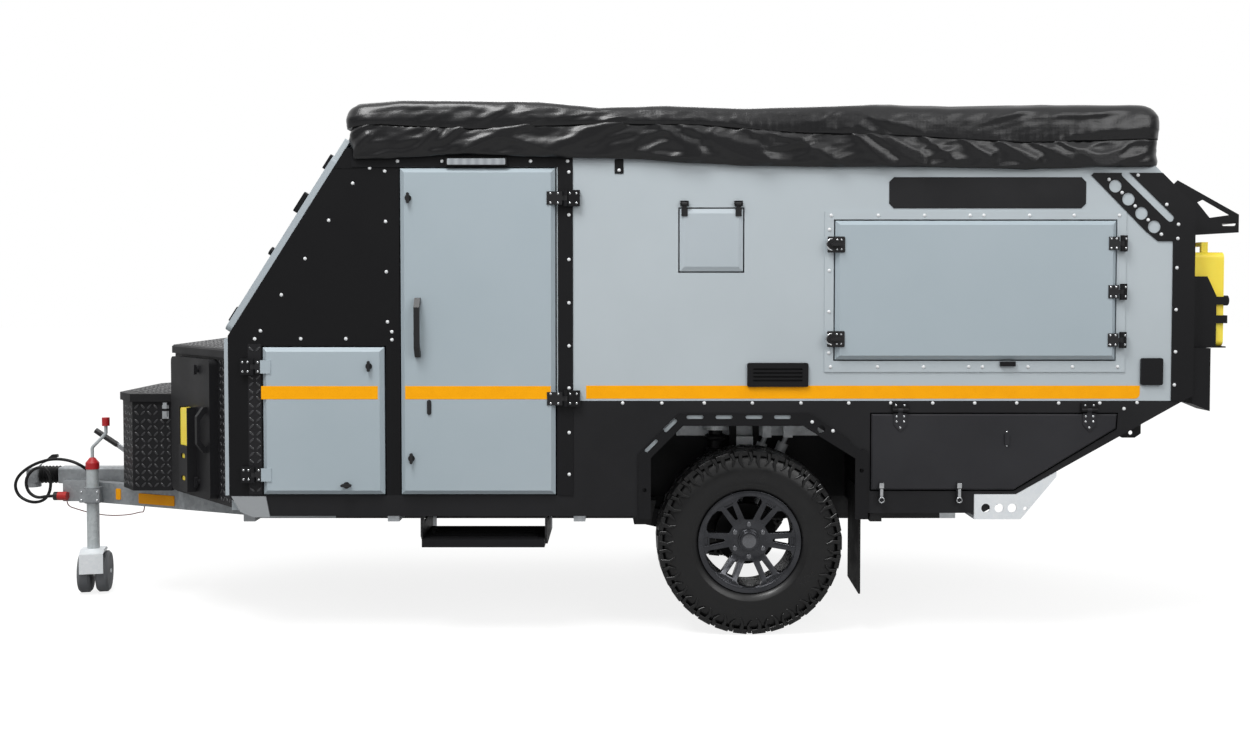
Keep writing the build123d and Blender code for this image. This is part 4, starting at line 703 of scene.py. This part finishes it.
# Chrome catches. Hatch: half rings as pulls, studs on the catch plate. Rear lid: rivets, hooks, levers and loops.
catch = {"ring": 0.024, "tube": 0.0032, "at": (1.012, 1.011), "heights": (1.678, 1.278), "stud": (0.009, 0.009, 0.005),
         "studX": (1.032, 1.050), "studY": 1.0125, "studRise": (-0.020, 0, 0.020)}
lidCatch = {"rivet": (0.010, 0.010, 0.006), "rivetAt": (1.763, 0.9885), "rivetZ": (0.823, 0.881), "x": (1.228, 1.559),
            "plates": (("catchHook", 0.010, 0.642, 0.665), ("catchLever", 0.0065, 0.604, 0.640)), "corner": 0.003,
            "y": 1.002, "thick": 0.005, "edge": 0.0015, "loop": 0.011, "tube": 0.0024, "loopY": 1.006, "loopZ": 0.592}
for side, label, hand in sides:
    owner = "hatch" + hand
    shape = bmesh.new()
    for z in catch["heights"]:
        bentWire(shape, (catch["at"][0], side * catch["at"][1], z), catch["ring"], catch["tube"], 90, 180, 20, 8)
    newPiece("catchRings." + owner, finished(shape, "catchRings", True), chrome, owner)
    studs = [((x, side * catch["studY"], z + dz), facing((0, side, 0))) for z in catch["heights"]
             for dz in catch["studRise"] for x in catch["studX"]]
    scatter("catchStuds." + owner, studs, catch["stud"], chrome, owner)
for side, label, hand in sides:
    owner = "rear_lid" + hand
    x, y = lidCatch["rivetAt"]
    studs = [((x, side * y, z), facing((0, side, 0))) for z in lidCatch["rivetZ"]]
    scatter("lidRivets." + owner, studs, lidCatch["rivet"], chrome, owner)
    for index, x in enumerate(lidCatch["x"]):
        for name, half, low, high in lidCatch["plates"]:
            sidePlate(f"{name}.{index}.{owner}", side, rounded(x - half, x + half, low, high, lidCatch["corner"]),
                      lidCatch["y"], lidCatch["thick"], chrome, owner, lidCatch["edge"])
        shape = bmesh.new()
        centre = (x, side * lidCatch["loopY"], lidCatch["loopZ"])
        bentWire(shape, centre, lidCatch["loop"], lidCatch["tube"], 0, 360, 16, 6)
        newPiece(f"catchLoop.{index}.{owner}", finished(shape, "catchLoop", True), chrome, owner)

# Rubber seals behind the rear lids' upper and front gaps: x from, to, z from, to
seals = {"boxes": {"sealTop": (1.178, 2.080, 0.936, 0.966), "sealFront": (1.178, 1.208, 0.640, 0.934)},
         "corner": 0.004, "y": 0.925, "thick": 0.004, "edge": 0.001}
for side, label, hand in sides:
    for name, box in seals["boxes"].items():
        sidePlate(f"{name}.{label}", side, rounded(*box, seals["corner"]), seals["y"], seals["thick"], softRubber,
                  "trailer", seals["edge"])

# Front slope carried up behind the cover, and the black panel's upper corner beside it
slope = {"outline": ((-1.0850, 2.0270), (-1.0290, 2.1150), (-1.0500, 2.1284), (-1.1060, 2.0404)), "half": 0.974,
         "edge": 0.003}
plate("slopeCap", slope["outline"], (0, slope["half"], 0), (1, 0, 0), (0, 0, 1), 2 * slope["half"], wallGrey, "trailer",
      slope["edge"])
corner = {"outline": ((-1.1015, 2.000), (-1.000, 2.000), (-1.000, 2.070), (-1.030, 2.085), (-1.048, 2.085)),
          "y": 0.980, "thick": 0.0016, "edge": 0.0005}
sidePlate("panelCorner", -1, corner["outline"], corner["y"], corner["thick"], frontBlack, "trailer",
          corner["edge"])

# Cover bracket under the roof edge with a rivet, and the clamp's face plate on the drawbar with four bolts
bracket = {"box": (0.092, 0.130, 1.978, 2.040, 0.004), "y": 0.980, "thick": 0.003, "edge": 0.001,
           "rivet": (0.111, -0.983, 1.993)}
sidePlate("coverBracket", -1, rounded(*bracket["box"]), bracket["y"], bracket["thick"], steelBlack, "trailer",
          bracket["edge"])
scatter("bracketRivet", [(bracket["rivet"], facing((0, -1, 0)))], rivets["size"], rivetWhite, "trailer")
clamp = {"box": (-2.512, -2.412, 0.452, 0.516, 0.006), "y": 0.2112, "thick": 0.005, "boltX": (-2.500, -2.424),
         "boltY": 0.2165, "boltZ": (0.464, 0.504), "bolt": (0.014, 0.014, 0.010)}
sidePlate("clampFace", -1, rounded(*clamp["box"]), clamp["y"], clamp["thick"], shadedNoseZinc, "trailer")
scatter("clampBolts", [((x, -clamp["boltY"], z), facing((0, -1, 0))) for x in clamp["boltX"] for z in clamp["boltZ"]],
        clamp["bolt"], chrome, "trailer")
print("plates and stripes set")

# Tyre: carcass profile (radius, half width); rows of lugs as outline, foot, crown, drop and share of a pitch; ribs down
# each shoulder as share of a pitch, foot, knee, tip, half width and lean
tyreSpec = {
    "profile": ((0.2095, 0.095), (0.2225, 0.1035), (0.228, 0.113), (0.236, 0.1215), (0.250, 0.1272), (0.2535, 0.1292),
                (0.2565, 0.1292), (0.260, 0.1284), (0.285, 0.1316), (0.303, 0.1322), (0.316, 0.1316), (0.326, 0.1300),
                (0.336, 0.1270), (0.346, 0.1236), (0.362, 0.1186), (0.376, 0.1105), (0.386, 0.0990),
                (0.390, 0.0840), (0.390, 0.0)),
    "steps": 150, "lugs": 30, "ease": 0.0014, "taper": 0.94, "shoulder": 0.12,
    "rows": ((((0.1265, -0.033), (0.1265, 0.029), (0.072, 0.036), (0.060, 0.016), (0.066, -0.022)),
              0.376, 0.4000, 0.0045, 0.0),
             (((0.056, -0.034), (0.060, 0.004), (0.044, 0.036), (0.010, 0.030), (0.006, -0.008), (0.026, -0.036)),
              0.380, 0.4005, 0.0, 0.27)),
    "ribGrow": (0.6, 1.0, 1.5), "ribDepth": 0.014, "ribCrown": 0.75,
    "ribs": ((0.0, (0.3270, 0.1328), (0.3560, 0.1324), (0.3905, 0.1268), 0.0085, 0.0060),
             (0.5, (0.3380, 0.1320), (0.3620, 0.1312), (0.3925, 0.1252), 0.0070, -0.0066)),
}


# A lug: outline as width and run, its outer edge lowered by the drop where the shoulder rounds
def block(outline, low, high, drop):
    shape, taper = bmesh.new(), tyreSpec["taper"]
    n = len(outline)
    middle = Vector((sum(p[0] for p in outline) / n, sum(p[1] for p in outline) / n))
    lower = [shape.verts.new((low, y, t)) for y, t in outline]
    upper = []
    for y, t in outline:
        top = high - (drop if abs(y) > tyreSpec["shoulder"] else 0)
        upper.append(shape.verts.new((top, middle.x + (y - middle.x) * taper, middle.y + (t - middle.y) * taper)))
    for i in range(n):
        shape.faces.new((lower[i], lower[(i + 1) % n], upper[(i + 1) % n], upper[i]))
    shape.faces.new(upper)
    shape.faces.new(lower[::-1])
    return shape


def tyreMesh():
    whole = bmesh.new()
    flank = tyreSpec["profile"]
    profile = [(r, -y) for r, y in flank] + [(r, y) for r, y in flank[::-1][1:]]
    steps = tyreSpec["steps"]
    rings = []
    for k in range(steps):
        a = 2 * math.pi * k / steps
        rings.append([whole.verts.new((r * math.cos(a), y, r * math.sin(a))) for r, y in profile])
    for k in range(steps):
        here, there = rings[k], rings[(k + 1) % steps]
        for i in range(len(profile)):
            j = (i + 1) % len(profile)
            whole.faces.new((here[i], here[j], there[j], there[i]))
    bmesh.ops.recalc_face_normals(whole, faces=whole.faces)
    for face in whole.faces:
        face.smooth = True
    parts = []
    for side in (-1, 1):
        start = 0.0 if side < 0 else 0.5
        for outline, low, high, drop, offset in tyreSpec["rows"]:
            parts.append((block([(side * y, t) for y, t in outline], low, high, drop), start + offset))
        # each rib is a low bent ridge that runs from the wall up into its lug
        for offset, foot, knee, tip, half, lean in tyreSpec["ribs"]:
            wedge, rows = bmesh.new(), []
            for (r, y), shift, grow in zip((foot, knee, tip), (-lean, lean, 0.0), tyreSpec["ribGrow"]):
                deep, crown = y - tyreSpec["ribDepth"], half * tyreSpec["ribCrown"]
                rows.append([wedge.verts.new((r, side * at, shift + grow * t))
                             for at, t in ((deep, -half), (y, -crown), (y, crown), (deep, half))])
            for below, above in zip(rows, rows[1:]):
                for i in range(3):
                    wedge.faces.new((below[i], below[i + 1], above[i + 1], above[i]))
                wedge.faces.new((below[3], below[0], above[0], above[3]))
            wedge.faces.new(rows[0][::-1])
            wedge.faces.new(rows[-1])
            parts.append((wedge, start + offset))
    for shape, offset in parts:
        bmesh.ops.recalc_face_normals(shape, faces=shape.faces)
        bmesh.ops.bevel(shape, geom=list(shape.edges), offset=tyreSpec["ease"], segments=1, affect="EDGES")
        lug = finished(shape, "lug")
        whole.from_mesh(grown(lug, ring, {"Count": tyreSpec["lugs"], "Offset": offset, "Finish": tyreRubber}))
    return finished(whole, "tyre")


master = tyreMesh()
for name, node, body, at in (
        ("treadedTyre.left", "tyre_left", "wheel_left", Matrix.Translation((wheelAt[0], -wheelAt[1], wheelAt[2]))),
        ("treadedTyre.right", "tyre_right", "wheel_right", Matrix.Translation(wheelAt)),
        ("treadedTyre.spare", "spare_tyre", "trailer",
         Matrix.Translation(spareAt) @ Matrix.Rotation(math.radians(90), 4, "Z")),
):
    mesh = master.copy()
    mesh.transform(at)
    mesh.materials.clear()
    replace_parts(newPiece(name, mesh, tyreRubber, body), node)
print("tyres:", len(master.polygons), "faces each")

# Cast rims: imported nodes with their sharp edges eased, angles in degrees
cast = {"edge": 0.0016, "sharp": 30, "crisp": 38}
for name, node, body in (("castRim.left", "rim_left", "wheel_left"), ("castRim.right", "rim_right", "wheel_right"),
                         ("castRim.spare", "spare_rim", "trailer")):
    shape = packedShape(node)
    sharp = [e for e in shape.edges if len(e.link_faces) == 2 and e.calc_face_angle(0) > math.radians(cast["sharp"])]
    bmesh.ops.bevel(shape, geom=sharp, offset=cast["edge"], segments=2, affect="EDGES", profile=0.55,
                    clamp_overlap=False)
    mesh = finished(shape, name, True)
    mesh.set_sharp_from_angle(angle=math.radians(cast["crisp"]))
    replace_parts(newPiece(name, mesh, nodes[node].data.materials[0], body), node)
    print(name, len(mesh.polygons), "faces")

# Packed roof cover: side lines as x, z in metres, folds as x, z to x, z with width and height
cover = {
    "front": -1.042, "rear": 2.394, "half": 1.004, "corner": 0.07, "around": 1000, "lowRows": 22, "lidRows": 14,
    "rollRows": 6, "topRows": 14, "roll": 0.042, "lip": 0.008, "bulge": 0.007, "lidBulge": 0.005, "hem": 0.004,
    "tuck": 0.008, "lean": 0.003, "sag": 0.022, "setBack": 0.014, "crease": 0.010, "crinkle": 0.004, "topCrease": 0.009,
    "stand": 1.25, "pucker": 0.0022, "ripple": 0.003, "ceiling": 2.2889,
    "top": ((-1.06, 2.262), (-1.00, 2.270), (-0.80, 2.288), (-0.57, 2.287), (-0.23, 2.283), (0.03, 2.259),
            (0.31, 2.267), (0.63, 2.255), (1.20, 2.270), (1.51, 2.257), (2.03, 2.268), (2.31, 2.268), (2.40, 2.260)),
    "low": ((-1.06, 2.032), (-0.96, 2.036), (-0.85, 2.040), (-0.64, 2.051), (-0.50, 2.054), (-0.15, 2.043),
            (0.0, 2.038), (0.12, 2.040), (0.35, 2.026), (0.63, 2.016), (1.23, 2.001), (1.83, 1.990), (2.13, 2.002),
            (2.40, 2.004)),
    "seam": ((-1.06, 2.175), (-0.90, 2.190), (-0.51, 2.170), (0.02, 2.192), (0.45, 2.188), (0.58, 2.177), (0.84, 2.156),
             (1.31, 2.143), (1.59, 2.126), (1.83, 2.113), (2.40, 2.130)),
    "folds": (
        (-0.51, 2.084, -0.26, 2.189, 0.032, 0.020), (-0.73, 2.084, -0.66, 2.146, 0.022, 0.012),
        (-0.63, 2.109, -0.55, 2.171, 0.022, 0.014), (-0.11, 2.097, 0.11, 2.183, 0.028, 0.020),
        (-0.14, 2.084, -0.01, 2.134, 0.022, 0.012), (0.27, 2.177, 0.42, 2.059, 0.030, 0.016),
        (0.38, 2.171, 0.68, 2.035, 0.034, 0.022), (0.63, 2.171, 0.73, 2.115, 0.022, 0.012),
        (-0.46, 2.196, -0.36, 2.245, 0.026, 0.012), (-1.02, 2.146, -0.94, 2.177, 0.020, 0.010),
        (-1.00, 2.072, -0.94, 2.134, 0.022, 0.012), (0.22, 2.059, 0.42, 2.028, 0.020, 0.010),
        (-0.10, 2.214, 0.06, 2.239, 0.022, 0.010), (1.09, 2.147, 1.24, 2.008, 0.026, 0.018),
        (1.16, 2.147, 1.36, 2.027, 0.026, 0.020), (1.24, 2.134, 1.36, 2.034, 0.018, 0.012),
        (1.56, 2.115, 1.66, 2.046, 0.022, 0.012), (1.72, 2.103, 1.85, 2.021, 0.022, 0.014),
        (1.87, 2.096, 2.00, 2.034, 0.022, 0.014), (1.97, 2.103, 2.15, 2.008, 0.026, 0.018),
        (2.24, 2.084, 2.14, 2.008, 0.024, 0.016), (2.29, 2.046, 2.19, 2.008, 0.020, 0.012),
        (0.74, 2.147, 0.87, 2.103, 0.020, 0.010), (1.17, 2.209, 1.27, 2.165, 0.020, 0.010),
        (1.24, 2.197, 1.37, 2.147, 0.022, 0.012), (1.65, 2.184, 1.78, 2.235, 0.020, 0.010),
        (1.71, 2.197, 1.82, 2.235, 0.018, 0.009), (2.06, 2.134, 2.38, 2.165, 0.030, 0.014),
        (1.90, 2.209, 2.12, 2.222, 0.026, 0.010), (0.88, 2.110, 1.02, 2.020, 0.024, 0.012),
        (1.40, 2.120, 1.52, 2.030, 0.020, 0.010), (-0.35, 2.120, -0.18, 2.070, 0.024, 0.010),
    ),
}


def lineAt(points, x):
    return np.interp(x, [p[0] for p in points], [p[1] for p in points])


def coverMesh():
    half, r, roll, lip = cover["half"], cover["corner"], cover["roll"], cover["lip"]
    x0, x1 = cover["front"], cover["rear"]
    loop = []  # plan of the cover: a rectangle with rounded corners
    for cx, cy, start in ((x1 - r, -half + r, -90), (x1 - r, half - r, 0), (x0 + r, half - r, 90),
                          (x0 + r, -half + r, 180)):
        for k in range(9):
            a = math.radians(start + 90 * k / 8)
            loop.append((cx + r * math.cos(a), cy + r * math.sin(a)))
    loop = np.array(loop + loop[:1])
    lengths = np.concatenate([[0], np.cumsum(np.hypot(*np.diff(loop, axis=0).T))])
    count = cover["around"]
    walk = np.linspace(0, lengths[-1], count, endpoint=False)
    px, py = np.interp(walk, lengths, loop[:, 0]), np.interp(walk, lengths, loop[:, 1])
    ahead = np.roll(np.stack([px, py], 1), -1, 0) - np.roll(np.stack([px, py], 1), 1, 0)
    ahead /= np.linalg.norm(ahead, axis=1)[:, None]
    nx, ny = ahead[:, 1], -ahead[:, 0]
    along = np.where(py > 0, x0 + x1 - px, px)  # the far side is the near one seen in a mirror
    top, low, seam = lineAt(cover["top"], px), lineAt(cover["low"], along), lineAt(cover["seam"], along)
    rows = []  # x, y, z, share of the sideways folds, share of the lid
    for k in range(cover["lowRows"] + 1):
        f = k / cover["lowRows"]
        hem, tuck = cover["hem"] * max(0, 1 - f / 0.08), cover["tuck"] * max(0, (f - 0.9) / 0.1)
        out = cover["bulge"] * math.sin(math.pi * f) - hem - tuck
        rows.append((px + nx * out, py + ny * out, low + (seam + 0.005 - low) * f, min(1, f / 0.06), 0))
    for k in range(cover["lidRows"] + 1):
        f = k / cover["lidRows"]
        out = lip + cover["lidBulge"] * math.sin(math.pi * f) - cover["lean"] * f
        rows.append((px + nx * out, py + ny * out, seam - 0.008 + (top - roll - seam + 0.008) * f, 0.3 + 0.4 * f, 1))
    for k in range(1, cover["rollRows"]):
        a = math.pi / 2 * k / cover["rollRows"]
        out = lip - cover["lean"] - roll * (1 - math.cos(a))
        rows.append((px + nx * out, py + ny * out, top - roll + roll * math.sin(a), 0.5, 1))
    inset = lip - cover["lean"] - roll
    edgeX, edgeY = px + nx * inset, py + ny * inset
    spineX = np.clip(px, x0 + half, x1 - half)
    for k in range(cover["topRows"] + 1):
        w = k / cover["topRows"]
        x, y = edgeX + (spineX - edgeX) * w, edgeY * (1 - w)
        sag = cover["sag"] * np.sin(np.pi * min(1, 1.3 * w)) * (0.4 + 0.6 * np.sin(2.1 * x + 0.7) ** 2)
        rows.append((x, y, lineAt(cover["top"], x) - sag, 0.0, 1))
    verts = np.stack([np.stack(row[:3], 1) for row in rows])
    share = np.array([row[3] for row in rows])[:, None]
    lid = np.array([row[4] for row in rows])[:, None]
    push = np.zeros(verts.shape[:2])
    flat = np.where(py > 0, x0 + x1 - verts[..., 0], verts[..., 0])
    flanks = np.abs(py) > half - r
    for fx0, fz0, fx1, fz1, width, rise in cover["folds"]:
        run = np.array((fx1 - fx0, fz1 - fz0))
        size = np.hypot(*run)
        du, dv = flat - fx0, verts[..., 2] - fz0
        t = (du * run[0] + dv * run[1]) / size ** 2
        d = (du * -run[1] + dv * run[0]) / size * (1 if run[0] > 0 else -1)
        ends = np.exp(-(np.clip(-t, 0, None) + np.clip(t - 1, 0, None)) ** 2 / 0.05) * (0.55 + 0.45 * np.clip(t, 0, 1))
        wide = width * (0.6 + 0.5 * np.clip(t, 0, 1))
        crest = np.where(d < 0, np.exp(-np.abs(d) / (0.45 * wide)), np.exp(-(d / (1.5 * wide)) ** 2))
        push += np.where(flanks[None, :], cover["stand"] * rise * ends * crest, 0) * share
    for i in range(verts.shape[0]):
        for j in range(count):
            x, y, z = verts[i, j]
            slant = Vector((x * 2.6 + z * 4.0, y * 3.0, z * 9.0 - x * 3.6))
            ridge = 0.5 - abs(noise.noise(slant * 1.7))
            if share[i, 0]:
                push[i, j] += share[i, 0] * (cover["crease"] * ridge + cover["crinkle"] * noise.noise(slant * 4.0))
            else:
                dent = noise.noise(Vector((x * 1.3, y * 2.6, 3.0)))
                push[i, j] += cover["topCrease"] * dent + cover["crinkle"] * ridge
    near = np.exp(-np.clip(verts[..., 2] - seam, 0, None) / 0.030) * lid * (share > 0)
    pucker = np.sin(verts[..., 0] * 150 + 9 * np.sin(verts[..., 0] * 7)) * np.sin(verts[..., 0] * 2.3) ** 2
    push += cover["pucker"] * near * pucker  # gathers along the seam
    ends = np.exp(-((px - x1) / 0.10) ** 2) + 0.6 * np.exp(-((px - x0) / 0.08) ** 2)
    push += np.where(share > 0, ends * cover["ripple"] * np.sin(verts[..., 2] * 70 + 4 * np.sin(py * 5)), 0)
    # the lower flap stands back under the lid at the front
    setBack = np.where((lid == 0) & (px < x0 + r), cover["setBack"], 0)
    shape = bmesh.new()
    grid = []
    for i in range(verts.shape[0]):
        line = []
        for j in range(count):
            x, y, z = verts[i, j]
            lift = push[i, j]
            if share[i, 0] > 0:
                x, y = x + nx[j] * (lift - setBack[i, j]), y + ny[j] * lift
            else:
                z += min(lift, 0.006)
            x = min(max(x, x0 - 0.004), x1 + 0.006)
            y = min(max(y, -half - 0.020), half + 0.020)
            line.append(shape.verts.new((x, y, min(z, cover["ceiling"]))))
        grid.append(line)
    for i in range(len(grid) - 1):
        for j in range(count):
            shape.faces.new((grid[i][j], grid[i][(j + 1) % count], grid[i + 1][(j + 1) % count], grid[i + 1][j]))
    bmesh.ops.remove_doubles(shape, verts=grid[-1], dist=0.008)
    return finished(shape, "coverSheet", True)


mesh = coverMesh()
coverPiece = newPiece("coverSheet", mesh, coverCloth, "trailer")
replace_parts(coverPiece, "roof_cover")

# Leads at the nose: radius and the route's points, in metres
leads = {
    "leadRadius": 0.0075, "wireRadius": 0.0025,
    "lead": ((-2.540, -0.046, 0.590), (-2.540, -0.090, 0.612), (-2.600, -0.092, 0.642), (-2.690, -0.090, 0.652),
             (-2.786, -0.086, 0.624), (-2.862, -0.078, 0.572), (-2.890, -0.072, 0.516), (-2.868, -0.074, 0.460),
             (-2.802, -0.082, 0.430), (-2.738, -0.090, 0.440), (-2.704, -0.092, 0.484), (-2.698, -0.094, 0.556),
             (-2.722, -0.104, 0.612), (-2.776, -0.116, 0.606), (-2.812, -0.124, 0.552), (-2.800, -0.126, 0.492),
             (-2.756, -0.124, 0.460), (-2.706, -0.120, 0.470), (-2.673, -0.120, 0.470)),
    "wire": ((-2.634, -0.062, 0.440), (-2.634, -0.062, 0.412), (-2.600, -0.020, 0.388), (-2.540, 0.002, 0.364),
             (-2.440, 0.004, 0.350), (-2.340, -0.004, 0.358), (-2.262, -0.090, 0.386), (-2.200, -0.200, 0.404),
             (-2.200, -0.200, 0.440)),
}


def leadCurve(name, points, radius, material):
    curve = bpy.data.curves.new(name, "CURVE")
    curve.dimensions = "3D"
    curve.bevel_depth, curve.bevel_resolution, curve.resolution_u = radius, 4, 12
    curve.use_fill_caps = True
    spline = curve.splines.new("NURBS")
    spline.points.add(len(points) - 1)
    for spot, at in zip(spline.points, points):
        spot.co = (*at, 1.0)
    spline.order_u = 3
    spline.use_endpoint_u = True
    curve.materials.append(material)
    piece = bpy.data.objects.new(name, curve)
    scene.collection.objects.link(piece)
    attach(piece, "trailer")
    return piece


def curveLength(piece):
    plain = piece.copy()
    plain.data = piece.data.copy()
    plain.data.bevel_depth = 0
    scene.collection.objects.link(plain)
    line = bpy.data.meshes.new_from_object(plain.evaluated_get(bpy.context.evaluated_depsgraph_get()))
    length = sum((line.vertices[e.vertices[0]].co - line.vertices[e.vertices[1]].co).length for e in line.edges)
    bpy.data.objects.remove(plain)
    return length


leadPiece = leadCurve("trailerLead", leads["lead"], leads["leadRadius"], cableRubber)
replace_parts(leadPiece, "trailer_lead")
round(curveLength(leadPiece), 3)
wirePiece = leadCurve("breakawayWire", leads["wire"], leads["wireRadius"], wireRed)
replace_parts(wirePiece, "breakaway_wire")
round(curveLength(wirePiece), 3)
print("leads:", round(curveLength(leadPiece), 3), round(curveLength(wirePiece), 3), "m")

# Floor, backdrop light and camera
floorSpec = {"half": 40, "z": -0.0008, "glow": 1.16, "share": 0.72, "mirrored": 0.2}
half = floorSpec["half"]
floorMesh = bpy.data.meshes.new("floor")
corners = ((-half, -half), (half, -half), (half, half), (-half, half))
floorMesh.from_pydata([(x, y, floorSpec["z"]) for x, y in corners], [], [(0, 1, 2, 3)])
floor = bpy.data.objects.new("floor", floorMesh)
scene.collection.objects.link(floor)
# Pale studio floor: white to the camera apart from the shadow, a grey floor to light and reflections
paleFloor, tree, shader, place = newMaterial("paleFloor", "F4F4F3", 0.9)
surface(tree, shader, place, ("F5F5F4", "F1F1F0"), 1.5, 8.0, 0.02)
rays = addNode(tree, "ShaderNodeLightPath").outputs
pale = shader.inputs["Base Color"].links[0].from_socket
colour = addNode(tree, "ShaderNodeMix", {"data_type": "RGBA", 6: linear("909090")}, {0: rays["Is Camera Ray"], 7: pale})
tree.links.new(colour.outputs[2], shader.inputs["Base Color"])
clear = addNode(tree, "ShaderNodeMath", {"operation": "MAXIMUM"},
                {0: rays["Is Camera Ray"], 1: rays["Is Transmission Ray"]}).outputs[0]
mirrored = addNode(tree, "ShaderNodeMath", {"operation": "MULTIPLY", 1: floorSpec["mirrored"]},
                   {0: rays["Is Glossy Ray"]}).outputs[0]
share = addNode(tree, "ShaderNodeMath", {"operation": "MULTIPLY_ADD", 1: floorSpec["share"]},
                {0: clear, 2: mirrored}).outputs[0]
white = addNode(tree, "ShaderNodeEmission", {"Color": (1, 1, 1, 1), "Strength": floorSpec["glow"]})
blended = addNode(tree, "ShaderNodeMixShader", links={0: share, 1: shader.outputs[0], 2: white.outputs[0]})
output = next(node for node in tree.nodes if node.type == "OUTPUT_MATERIAL")
tree.links.new(blended.outputs[0], output.inputs["Surface"])
floorMesh.materials.append(paleFloor)

world = bpy.data.worlds.new("studio")
scene.world = world
world.use_nodes = True
tree = world.node_tree
tree.nodes.clear()
direction = addNode(tree, "ShaderNodeTexCoord").outputs["Generated"]
split = addNode(tree, "ShaderNodeSeparateXYZ", links={0: direction}).outputs
rays = addNode(tree, "ShaderNodeLightPath").outputs
behind = addNode(tree, "ShaderNodeMapRange", {1: -0.15, 2: 0.25}, {0: split[1]}).outputs[0]
above = addNode(tree, "ShaderNodeMapRange", {1: 0.10, 2: 0.80, 3: 0.15, 4: 1.0}, {0: split[2]}).outputs[0]
mirrored = addNode(tree, "ShaderNodeMath", {"operation": "MAXIMUM"}, {0: behind, 1: above}).outputs[0]
seen = addNode(tree, "ShaderNodeMath", {"operation": "MAXIMUM"},
               {0: rays["Is Camera Ray"], 1: rays["Is Transmission Ray"]}).outputs[0]
shine = addNode(tree, "ShaderNodeMapRange", {3: 0.70}, {0: rays["Is Glossy Ray"], 4: mirrored}).outputs[0]
level = addNode(tree, "ShaderNodeMath", {"operation": "MAXIMUM"}, {0: shine, 1: seen}).outputs[0]
sky = addNode(tree, "ShaderNodeBackground", {"Color": (1, 1, 1, 1)}, {"Strength": level})
addNode(tree, "ShaderNodeOutputWorld", links={"Surface": sky.outputs[0]})

lights = {
    "key": ((-2.2, -4.4, 8.0), (0.3, -0.6, 1.0), 3.6, 450),
    "fill": ((5.0, -6.5, 5.0), (0.5, 0.0, 1.0), 4.0, 140),
    "back": ((0.0, 6.0, 6.0), (0.3, 0.0, 1.0), 5.0, 220),
}
for name, (at, aim, size, power) in lights.items():
    light = bpy.data.lights.new(name, "AREA")
    light.shape, light.size, light.energy = "DISK", size, power
    stand = bpy.data.objects.new(name, light)
    stand.location = at
    stand.rotation_euler = (Vector(aim) - Vector(at)).to_track_quat("-Z", "Y").to_euler()
    scene.collection.objects.link(stand)

# The photograph's view: 1250 by 743 pixels, focal length in pixels, a slight downward pitch
view = {"place": (0.134, -6.652, 1.504), "focal": 1333.8, "wide": 1250, "pitch": 2.0, "yaw": -0.02, "low": 39.2}
lens = bpy.data.cameras.new("photoCamera")
lens.sensor_width, lens.sensor_fit = 36.0, "HORIZONTAL"
lens.lens = view["focal"] / view["wide"] * lens.sensor_width
lens.shift_y = -view["low"] / view["wide"]
lens.clip_end = 200
camera = bpy.data.objects.new("photoCamera", lens)
camera.location = view["place"]
camera.rotation_euler = Euler((math.radians(90 - view["pitch"]), 0, math.radians(view["yaw"])), "XYZ")
scene.collection.objects.link(camera)
scene.camera = camera
scene.view_settings.view_transform = "Standard"
